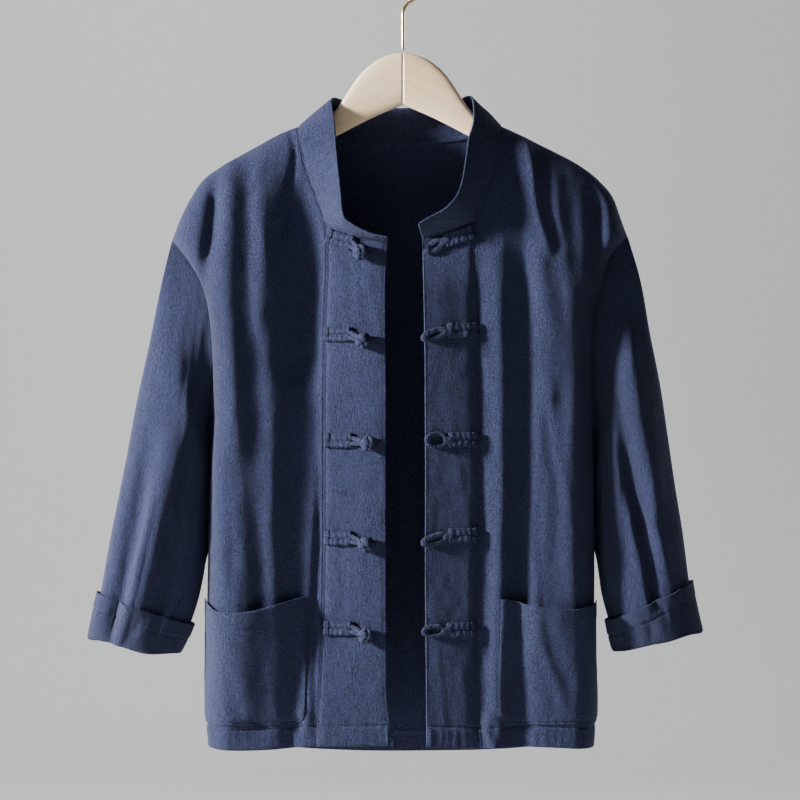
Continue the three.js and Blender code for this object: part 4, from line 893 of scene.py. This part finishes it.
def neck_seam(fronts, bands, back):
    """The whole neck seam, from the right front edge round the back to the left one.

    Each row holds a point and the normal of the cloth there, and so do the grids handed in.
    """
    parts = []
    for front, strip in zip(fronts, bands):
        neckline = front[:, 0][front[:, 0, 2] > BAND_TOP + 0.5][::-1]
        parts.append(np.concatenate([strip[0][::-1], neckline]))
    top = back[0]
    neck = top[(top[:, 0] > BACK_NECK["x"][0]) & (top[:, 0] < BACK_NECK["x"][-1])]
    seam = resample(np.concatenate([parts[0], neck, parts[1][::-1]]), 2.6)
    return seam[:, :3], unit(seam[:, 3:])


def collar(fronts, bands, back):
    """The collar grows from the neck seam up to its edge, and leans out at the front."""
    seam, seam_facing = neck_seam(fronts, bands, back)
    run = lengths(seam[:, None], 0)[:, 0]
    at = run / run[-1]
    top = np.stack([read(COLLAR_EDGE, "at", at, key) for key in "xyz"], axis=-1)
    along = np.gradient(seam, axis=0)
    foot = seam + unit(np.cross(along, seam_facing)) * VISUAL_SEAM
    out = unit(np.cross(top - foot, along))
    w = spaced(COLLAR_HEIGHT, fine=(STITCH_INSET, COLLAR_HEIGHT - 2.5))[:, None, None]
    base = mix(foot[None], top[None], w) + out[None] * COLLAR_ROLL * np.sin(np.pi * w)
    across, down = lengths(base, 1), lengths(base, 0)
    from_edge = down[-1:] - down
    relief = crumple(across, down, 61, 0.7) * 0.9
    relief += groove(down, STITCH_INSET) + puckers(down, across, 63, 10, 0.35, 6)
    relief += groove(from_edge, STITCH_INSET, 0.35) + puckers(from_edge, across, 65, 9, 0.2, 5)
    relief *= ease((down + 0.4) / 1.5)
    grid, normals = relieve(base, -1, relief)
    normals[0] = seam_facing
    piece = shell("stand_collar", grid, normals, COLLAR_SHELL, BAND_LOOK, "collar",
                  free=("bottom", "first", "last"))
    for edge in ("top", "bottom"):
        stitch(*inset_line(grid, normals, edge, STITCH_INSET))
    return piece


# Sleeves and cuffs. Above the elbow a sleeve's inner line is tucked a little behind the body's side.
RING_STEPS = 58
TUCK = dict(x=1.6, y=11)


def sleeve_grid(half, s):
    """Rings of a sleeve at stations s: down the front from the shoulder, then up the back."""
    h = (1 - np.cos(np.linspace(0, np.pi, RING_STEPS + 1))) / 2
    h = np.concatenate([h, h[1:-1][::-1]])[None, :]
    face = np.where(np.arange(h.shape[1]) <= RING_STEPS, -1, 1)[None, :]
    s = np.asarray(s, float)[:, None]

    def value(key):
        return read(half["sleeve"], "at", s, key)

    tip_x, tip_z = tip(half)
    seam_z = mix(tip_z, UNDERARM, h)
    bow = outer_x(half, seam_z) - mix(tip_x, outer_x(half, UNDERARM), h)
    x = mix(value("outX"), value("inX"), h) + bow * (1 - clamp(s)) ** 2
    z = mix(value("outZ"), value("inZ"), h)
    ring = 2 * np.sqrt(h * (1 - h))
    depth = np.where(face < 0, value("front"), value("back")) * ring
    folds = 0
    for row in rows_of(half["folds"]):
        along = (s - row["start"]) / (row["stop"] - row["start"])
        middle = mix(row["across"], row["end"], clamp(along))
        fade = ease(along / 0.35) * ease((1.1 - along) / 0.25)
        bend = row["height"] * fade * bell(h - middle, row["width"]) * ring
        folds = folds + (face == row["face"]) * bend
    y = face * (mix(armhole_depth(half, z) - SEAM / 2, depth, ease(s / 0.25)) + folds)
    tuck = ease((s - 0.02) / 0.08) * ease((0.62 - s) / 0.1) * ease((h - 0.88) / 0.12)
    x = x - half["sign"] * TUCK["x"] * tuck
    return np.stack(np.broadcast_arrays(x, y + TUCK["y"] * tuck, z), axis=-1), h, face


def sleeve_thread(grid):
    """Flat places on a ring grid, alike on its front and back so that they meet at both lines."""
    half_way = RING_STEPS + 1
    across = np.zeros(grid.shape[:2])
    across[:, :half_way] = lengths(grid[:, :half_way], 1)
    back = np.concatenate([grid[:, :1], grid[:, :half_way - 2:-1]], axis=1)
    across[:, half_way:] = lengths(back, 1)[:, 1:-1][:, ::-1]
    return np.stack([across, lengths(grid, 0)], axis=-1)


def sleeve(half):
    """A sleeve from the armhole to its turned end, with a short allowance inside the armhole seam."""
    base, h, face = sleeve_grid(half, spaced(SLEEVE_LENGTH, fine=(0,)))
    thread = sleeve_thread(base)
    across, down = thread[..., 0], thread[..., 1]
    seed = 71 if half is RIGHT else 81
    relief = crumple(across * np.where(face < 0, 1, 1.3) + 40 * (face > 0), down, seed, 0.95)
    relief *= ease(h / 0.06) * ease((1 - h) / 0.06)
    relief += puckers(down, across, seed + 7, 12, 0.5, 7)
    relief *= ease((down + 0.6) / 8)
    normal = normals_of(base, half["sign"], closed=True)
    out = side_normals(half, base[0, :, 2])
    grid = base + normal * relief[..., None] + out * VISUAL_SEAM * ease(1 - down[..., None] / 6)
    inwards = -np.sign(base[0]) * [0, 1, 0]
    edge = base[0] + inwards * np.minimum(0.5, 0.7 * np.abs(base[0]))
    allowance = edge - out * 4 + inwards * np.minimum(0.3, 0.5 * np.abs(edge))
    grid = np.concatenate([[allowance, edge], grid])
    normals = normals_of(grid, half["sign"], closed=True)
    name = half["name"]
    return shell(f"sleeve_{name}_cloth", grid, normals, SHELL, CLOTH_LOOK, f"sleeve_{name}", closed=True,
                 thread=sleeve_thread(grid))


def cuff(half):
    """The sleeve's end turned outwards and up, with its stitched hem and a crumpled fold."""
    seed = 91 if half is RIGHT else 95
    stations = mix(1, CUFF_TOP, spaced(CUFF_DEEP, fine=(CUFF_HEM,), step=1.8))
    rings = sleeve_grid(half, stations[::-1])[0]
    normals = normals_of(rings, half["sign"], closed=True)[::-1]
    rings = rings[::-1]
    axis = unit(rings[0] - rings[len(rings) // 3])
    run = np.cumsum(np.linalg.norm(np.roll(rings[0], -1, axis=0) - rings[0], axis=-1))
    angle = 2 * np.pi * run / run[-1]
    height = lengths(rings, 0)
    from_top = height[-1:] - height
    sag = 1.6 * np.sin(2 * angle + seed) + 1.1 * np.sin(3 * angle + 2) + 0.6 * np.sin(5 * angle + seed)
    wrinkle = crumple(run[None, :] * 0.9, height, seed, 1.1)
    relief = CUFF_SPACE + CLOTH + wrinkle * ease(height / 5 + 0.3)
    relief = relief + groove(from_top, CUFF_HEM) + 0.5 * ease((CUFF_HEM - from_top) / 1.5)
    relief = relief + puckers(from_top - CUFF_HEM, run[None, :], seed, 12, 0.5, 12)
    outer = rings + axis * (sag * bell(height, 20))[..., None] + normals * relief[..., None]
    foot = rings[0] + axis * sag[:, None]
    radius, centre = (relief[0] + SHELL) / 2, (relief[0] - SHELL) / 2
    fold = [foot + axis * CUFF_FOLD * np.sin(turn) + normals[0] * (centre - radius * np.cos(turn))[:, None]
            for turn in np.linspace(0, np.pi, FOLD_RINGS)]
    grid = np.concatenate([np.array(fold), outer])
    facing = normals_of(grid, -half["sign"], closed=True)
    rows, count = grid.shape[:2]
    thread = np.stack(np.broadcast_arrays(run[None, :], lengths(grid, 0)), axis=-1).reshape(-1, 2)
    wrap = numbered(rows, count, closed=True)
    quads = quads_of(wrap)
    faces = quads.tolist() + (quads[:, ::-1] + rows * count).tolist()
    for line, turn in ((wrap[0], 1), (wrap[-1], -1)):
        faces += strip_between(line, line + rows * count)[:, ::turn].tolist()
    points = np.concatenate([grid.reshape(-1, 3), (grid - facing * SHELL).reshape(-1, 3)])
    name = half["name"]
    piece = build(f"cuff_{name}_cloth", points, faces, CUFF_LOOK, [f"cuff_{name}"],
                  np.concatenate([thread, thread]))
    for part in (slice(2, RING_STEPS - 1), slice(RING_STEPS + 2, -2)):
        stitch(*inset_line(grid[:, part], facing[:, part], "bottom", CUFF_HEM))
    return piece


def pocket(half):
    """A patch pocket over the front panel, its mouth gaping and its inner lower corner rounded."""
    inner, name = half["pocket"], half["name"]
    side_x = outer_x(half, mix(MOUTH_LEVEL, POCKET_BOTTOM, 0.5))
    width = abs(side_x - inner)
    side = side_shares(width)
    q = np.concatenate([(spaced(width - SIDE_ROUND, fine=(STITCH_INSET,)) * side[0])[:-1], side])[None, :]
    w = spaced(POCKET_DEEP, fine=(POCKET_HEM + 2, POCKET_DEEP - 2.5))[:, None]
    mouth_z = read(half["mouth"], "x", mix(inner, side_x, q), "z")
    corner = clamp(POCKET_CORNER - q * width, 0, POCKET_CORNER)
    bottom = POCKET_BOTTOM + POCKET_CORNER - np.sqrt(POCKET_CORNER ** 2 - corner ** 2)
    z = mix(mouth_z, bottom, w)
    x = mix(inner, outer_x(half, z), q)
    base = place_on(FRONT, x, z)
    across, down = lengths(base, 1), lengths(base, 0)
    from_side, from_bottom = across[:, -1:] - across, down[-1:] - down
    gape = POCKET_GAPE * np.sin(np.pi * q) ** 0.9 * (1 - w) ** 1.3
    edge = np.minimum(np.minimum(across, from_bottom), 30)
    relief = mix(1.5, 2.3, ease(edge / 7)) + gape
    relief = relief + body_relief(FRONT, x, z) * mix(1, 0.6, ease(edge / 12)) * ease(from_side / SIDE_CALM)
    relief = relief + crumple(across, down, 101, 0.5) * ease(edge / 10)
    relief = relief + groove(across, STITCH_INSET) + puckers(across, down, 103, 9, 0.3, 5)
    relief = relief + groove(from_bottom, STITCH_INSET) + puckers(from_bottom, across, 105, 9, 0.35, 6)
    relief = relief + 0.4 * ease((POCKET_HEM - down) / 1.5)
    grid, normals = relieve(base, -half["sign"], relief)
    normals[:, -1] = (half["sign"], 0, 0)
    piece = shell(f"pocket_{name}_cloth", grid, normals, SHELL, CLOTH_LOOK, f"pocket_{name}",
                  free=("top", "first", "bottom"))
    stitch(*inset_line(grid, normals, "first", STITCH_INSET))
    stitch(*inset_line(grid, normals, "bottom", STITCH_INSET, 0, 0.9))
    return piece


# Frogs.
TOWARDS = np.array([0.0, -1.0, 0.0])


def band_point(x, z, lift):
    """A place over a band, at a height above its cloth."""
    x, z = np.asarray(x, float), np.asarray(z, float)
    y = -body_depth(FRONT, x, z) - BAND_PROUD - body_relief(FRONT, x, z) - lift
    return np.stack([x, y, z], axis=-1)


def cord(path, width, thick, up, seed, crinkle=0.3, sides=14, closed=False, power=1.0, dip=None):
    """A soft cord swept along a path, crinkled as bias cloth is. Gives points, faces and flat places.

    A smaller `power` makes its section squarer, and `dip` is where a stitch line draws it in.
    """
    ahead = np.roll(path, -1, axis=0) - np.roll(path, 1, axis=0) if closed else np.gradient(path, axis=0)
    across = unit(np.cross(ahead, np.broadcast_to(up, path.shape)))
    up = unit(np.cross(across, ahead))
    count = len(path)
    size = np.ones(count)
    if not closed:
        ends = np.minimum(np.arange(count), np.arange(count)[::-1])
        size = np.sqrt(1 - (1 - clamp(ends / 3, 0.05, 1)) ** 2)
    angle = np.arange(sides) / sides * 2 * np.pi
    run = lengths(path[:, None], 0)
    rough = noise(run + 3 * np.cos(angle), 0 * run + 5 * np.sin(angle), 2.6, 3.4, seed)
    swell = 1 + crinkle * rough * 0.5
    if dip is not None:
        swell = swell * (1 - 0.4 * bell(run - dip, 0.9))
    c, s = (np.sign(turn) * np.abs(turn) ** power for turn in (np.cos(angle), np.sin(angle)))
    reach = size[:, None] * swell
    wide, high = (reach * c * width / 2)[..., None], (reach * s * thick / 2)[..., None]
    points = path[:, None] + across[:, None] * wide + up[:, None] * high
    thread = np.stack(np.broadcast_arrays(angle * width / 2, run), axis=-1)
    return points.reshape(-1, 3), tube_faces(count, sides, closed), thread.reshape(-1, 2)


def join(parts):
    """Cords and balls as one mesh."""
    points, faces, threads, base = [], [], [], 0
    for part, part_faces, thread in parts:
        faces += [[k + base for k in face] for face in outward(part, part_faces)]
        base += len(part)
        points.append(part)
        threads.append(thread)
    return np.concatenate(points), faces, np.concatenate(threads)


def places_of(row):
    """A frog's three flat places: its tab's start and inner end, and the end of its knot or loop."""
    return [np.array([row[x], row[z]]) for x, z in (("x", "z"), ("innerX", "innerZ"), ("tipX", "tipZ"))]


def flat_axes(start, end):
    """Unit directions along a flat line and across it."""
    run = (end - start) / np.linalg.norm(end - start)
    return run, np.array([-run[1], run[0]])


def tab(row, seed):
    """Two cords side by side, stitched down, with a stitched block at the seam."""
    start, end, _ = places_of(row)
    side = flat_axes(start, end)[1]
    parts = []
    t = np.linspace(0, 1, 60)[:, None]
    for k, offset in enumerate((-TAB["pitch"] / 2, TAB["pitch"] / 2)):
        flat = mix(start, end, t) + side * offset
        path = band_point(flat[:, 0], flat[:, 1], TAB["thick"] / 2 - 0.3)
        path[:, 1] -= 0.18 * np.sin(2 * np.pi * t[:, 0] * 5 + 2.2 * k)
        parts.append(cord(path, TAB["cord"] * 1.08, TAB["thick"], TOWARDS, seed + k, 0.24, 24,
                          power=0.62, dip=TAB["dip"]))
    t = np.linspace(0.2, 0.98, 12)[:, None]
    for offset in (0, -TAB["pitch"] * 0.98, TAB["pitch"] * 0.98):
        flat = mix(start, end, t) + side * offset
        points = band_point(flat[:, 0], flat[:, 1], 2.6 if offset == 0 else 1.4)
        stitch(points, np.broadcast_to(TOWARDS, points.shape), 2.2)
    return parts


def ball_turns(number, centre):
    """The closed cord of a ball knot: turns that pass over and under one another round a ball."""
    angle = np.linspace(0, 2 * np.pi, 150, endpoint=False)
    turn = KNOT["leads"] * angle + 0.7 * number
    rise = KNOT["tilt"] * np.sin(KNOT["bights"] * angle)
    radius = KNOT["radius"] - KNOT["weave"] * np.sin(2 * KNOT["bights"] * angle)
    x, y, z = np.cos(turn) * np.cos(rise), -np.sin(rise), np.sin(turn) * np.cos(rise)
    c, s = math.cos(KNOT["lean"]), math.sin(KNOT["lean"])
    out = np.stack([x, y * c - z * s, y * s + z * c], axis=-1)
    return cord(centre + out * radius[:, None], 6.6, 3.8, out, 260 + number, 0.22, 12, closed=True)


def ball_core(centre):
    """The ball that a knot's turns lie on."""
    rings, sides = 14, 20
    lat = np.linspace(0.02, np.pi - 0.02, rings)[:, None]
    lon = np.linspace(0, 2 * np.pi, sides, endpoint=False)[None, :]
    out = np.stack([np.sin(lat) * np.cos(lon), np.cos(lat) + 0 * lon, np.sin(lat) * np.sin(lon)], axis=-1)
    points = centre + out.reshape(-1, 3) * KNOT["radius"]
    return points, tube_faces(rings, sides), points[:, [0, 2]]


def knot(number, row):
    """The knot half of a frog: cords draw together into a round knot of crossing turns."""
    start, inner, target = places_of(row)
    side = flat_axes(start, inner)[1]
    parts = tab(row, 200 + number)
    t = np.linspace(0, 1, 16)[:, None]
    for k, offset in enumerate((-2.3, 2.3)):
        flat = mix(mix(inner, start, 0.08) + side * offset * 1.5, target + side * offset * 0.25, t)
        path = band_point(flat[:, 0], flat[:, 1], 0)
        path[:, 1] -= mix(2.0, BALL - 1.5, ease(t[:, 0] * 1.1)) + 0.4 * np.sin(t[:, 0] * 9 + k * 3)
        parts.append(cord(path, 5.4, 4.6, TOWARDS, 230 + number * 3 + k, 0.35, 14))
    centre = band_point(row["tipX"], row["tipZ"], BALL - 0.4)
    parts += [ball_turns(number, centre), ball_core(centre)]
    points, faces, thread = join(parts)
    return build(f"frog_knot_{number}", points, faces, CORD_LOOK, [f"knot_{number}"], thread)


def loop(number, row):
    """The loop half of a frog: the tab's cords run on round an eye at the front edge."""
    start, inner, end = places_of(row)
    run, side = flat_axes(inner, end)
    parts = tab(row, 300 + number)
    half_length = np.linalg.norm(end - inner) / 2
    angle = np.linspace(-0.5, 0.5, 60)[:, None] * 2 * np.pi * 0.92
    ahead = half_length + (half_length - LOOP_CORD / 2) * np.cos(angle)
    aside = row["eye"] * np.sin(angle) * (1 - 0.12 * np.cos(angle))
    flat = inner + run * ahead + side * aside
    path = band_point(flat[:, 0], flat[:, 1], 2.2)
    path[:, 1] -= 0.5 * np.cos(angle[:, 0] * 1.5)
    wide = LOOP_CORD if row["eye"] > 5 else LOOP_CORD + 1.6
    parts.append(cord(path, wide, 4.3, TOWARDS, 330 + number, 0.3, 18, power=0.8))
    flat = mix(mix(inner, start, 0.2), mix(inner, end, 0.22), np.linspace(0, 1, 14)[:, None])
    path = band_point(flat[:, 0], flat[:, 1], 2.3)
    parts.append(cord(path, TAB["cord"] * 1.25, 4.4, TOWARDS, 360 + number, 0.35, 16))
    points, faces, thread = join(parts)
    return build(f"frog_loop_{number}", points, faces, CORD_LOOK, [f"loop_{number}"], thread)


# Hanger.
def hanger_arm(half, material):
    """One wooden half: rounded sections along the arm, seated under the shoulder."""
    sign, name = half["sign"], half["name"]
    nose = WOOD_END - WOOD_NOSE
    end = mix(nose, WOOD_END, np.sin(np.linspace(0.1, 1.5, 14)))
    x = np.concatenate([np.linspace(SEAM / 2, nose, 90), end])
    slope = (shoulder_z(half, sign * x + 1) - shoulder_z(half, sign * x - 1)) / 2
    under = shoulder_z(half, sign * x) - (CLOTH + WOOD_CLEAR) * np.sqrt(1 + slope * slope)
    top = mix(read(WOOD_TOP, "x", x, "z"), under, ease((x - WOOD_SEAT["start"]) / WOOD_SEAT["run"]))
    top = np.minimum(top, np.where(x > WOOD_SEAT["clear"], under, top))
    reach = clamp((x - nose) / WOOD_NOSE)
    shrink = np.sqrt(1 - (0.93 * reach) ** 2)
    top = top - 1.1 * reach
    bottom = read(WOOD_BOTTOM, "x", x, "z")
    middle = mix((top + bottom) / 2, top - 9, reach)
    high = np.minimum(top - middle, (top - bottom) / 2 * shrink + 0.01)
    sides = 44
    angle = np.arange(sides) / sides * 2 * np.pi
    c, s = np.cos(angle), np.sin(angle)
    y = WOOD_HALF * shrink[:, None] * np.sign(c) * np.abs(c) ** 0.62
    z = middle[:, None] + high[:, None] * np.sign(s) * np.abs(s) ** 0.72
    points = np.stack(np.broadcast_arrays(sign * x[:, None], y, z), axis=-1).reshape(-1, 3)
    faces = tube_faces(len(x), sides)
    return build(f"wood_arm_{name}", points, faces, material, [f"hanger_{name}"])


def hook(material):
    """The wire: a straight stem from the wood, a bend to the side and the arc that hangs on a rail."""
    radius = HOOK_INSIDE + WIRE
    bend = radius * math.cos(HOOK_LEAN) / (1 - math.cos(HOOK_LEAN))
    slip = -HOOK_INSIDE - radius * math.sin(HOOK_LEAN) - STEM_BEND - bend * math.sin(HOOK_LEAN)
    stem = [(0, z) for z in np.linspace(WOOD_TOP["z"][0] + SEAM, STEM_BEND + slip, 12)[:-1]]
    angle = np.linspace(0, HOOK_LEAN, 24)
    lower = [(bend * (1 - math.cos(a)), STEM_BEND + slip + bend * math.sin(a)) for a in angle]
    angle = np.linspace(-HOOK_LEAN, HOOK_END, 90)[1:]
    upper = [(radius * math.cos(a), -HOOK_INSIDE + radius * math.sin(a)) for a in angle]
    flat = np.array(stem + lower + upper)
    path = np.stack([flat[:, 0], 0 * flat[:, 0], flat[:, 1]], axis=-1)
    points, faces = cord(path, 2 * WIRE, 2 * WIRE, -TOWARDS, 1, 0.0, 20)[:2]
    return build("brass_hook", points, faces, material, ["hanger_hook"])


# Stage: a pale floor that curves up into a backdrop, soft lights and the camera.
def stage():
    floor_z, wall_y, bend, wide = -1.45, 4.4, 1.4, 7.0
    profile = [(-6.0, floor_z), (wall_y - bend, floor_z)]
    profile += [(wall_y - bend + bend * math.sin(a), floor_z + bend - bend * math.cos(a))
                for a in np.linspace(0.1, math.pi / 2, 14)]
    profile.append((wall_y, 4.0))
    points = [(x, y, z) for y, z in profile for x in (-wide, wide)]
    faces = [(2 * k, 2 * k + 1, 2 * k + 3, 2 * k + 2) for k in range(len(profile) - 1)]
    mesh = bpy.data.meshes.new("sweep_floor")
    mesh.from_pydata(points, [], faces)
    mesh.shade_smooth()
    look = Look("pale_floor", 0.9)
    speckle = look.add("TexNoise", {"Vector": look.add("TexCoord", output=OBJECT_COORDS),
                                    "Scale": 60.0, "Detail": 4.0})
    look.colour(look.ramp(speckle, (0.3, (0.5, 0.51, 0.52)), (0.7, (0.53, 0.54, 0.55))))
    mesh.materials.append(look.material)
    floor = bpy.data.objects.new("sweep_floor", mesh)
    bpy.context.scene.collection.objects.link(floor)
    floor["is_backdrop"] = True


def area_light(name, place, target, size, power, colour=(1, 1, 1)):
    """A round soft light that faces its target."""
    data = bpy.data.lights.new(name, "AREA")
    data.shape = "DISK"
    data.size = size
    data.energy = power
    data.color = colour
    light = bpy.data.objects.new(name, data)
    bpy.context.scene.collection.objects.link(light)
    light.location = place
    direction = np.array(target, float) - np.array(place, float)
    light.rotation_mode = "QUATERNION"
    light.rotation_quaternion = Vector(direction).to_track_quat("-Z", "Y")


def lights():
    middle = (0, 0, -0.5)
    area_light("key", (-2.75, -0.72, 0.3), middle, 0.42, 390, (1.0, 0.98, 0.955))
    area_light("fill", (0.9, -3.2, 0.3), middle, 2.4, 3.0)
    area_light("back_key", (2.4, 2.2, 0.8), middle, 1.6, 60)
    area_light("back_fill", (-2.4, 2.4, 0.2), middle, 1.8, 14)
    area_light("backdrop", (-1.5, 1.2, 2.6), (0.3, 4.4, 0.0), 2.4, 105)
    world = bpy.data.worlds.new("studio")
    bpy.context.scene.world = world
    world.use_nodes = True
    background = world.node_tree.nodes["Background"]
    background.inputs["Color"].default_value = (0.8, 0.84, 0.9, 1)
    background.inputs["Strength"].default_value = 0.08


def camera():
    data = bpy.data.cameras.new("camera")
    data.sensor_width = 36
    data.lens = 97.83
    view = bpy.data.objects.new("camera", data)
    bpy.context.scene.collection.objects.link(view)
    view.location = (-0.00345, -2.5, -0.4962)
    view.rotation_euler = (math.pi / 2, 0, 0)
    bpy.context.scene.camera = view


camera()
lights()
stage()

wood_right = hanger_arm(RIGHT, wood_look("beech_right", 1))
wood_left = hanger_arm(LEFT, wood_look("beech_left", -1))
hook(brass_look())

back, back_cloth = back_panel()
front_cloths, band_cloths = [], []
for half, wood in zip(HALVES, (wood_right, wood_left)):
    front, front_cloth = front_panel(half)
    front_cloths.append(front_cloth)
    strip, band_cloth = band(half)
    band_cloths.append(band_cloth)
    arm = sleeve(half)
    cuff(half)
    pocket(half)
collar(front_cloths, band_cloths, back_cloth)
for number, (knot_row, loop_row) in enumerate(zip(rows_of(KNOTS), rows_of(LOOPS)), 1):
    knot(number, knot_row)
    loop(number, loop_row)
finish_stitches("topstitching", thread_look())

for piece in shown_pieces():
    if piece.type == "MESH":
        piece.data.validate()
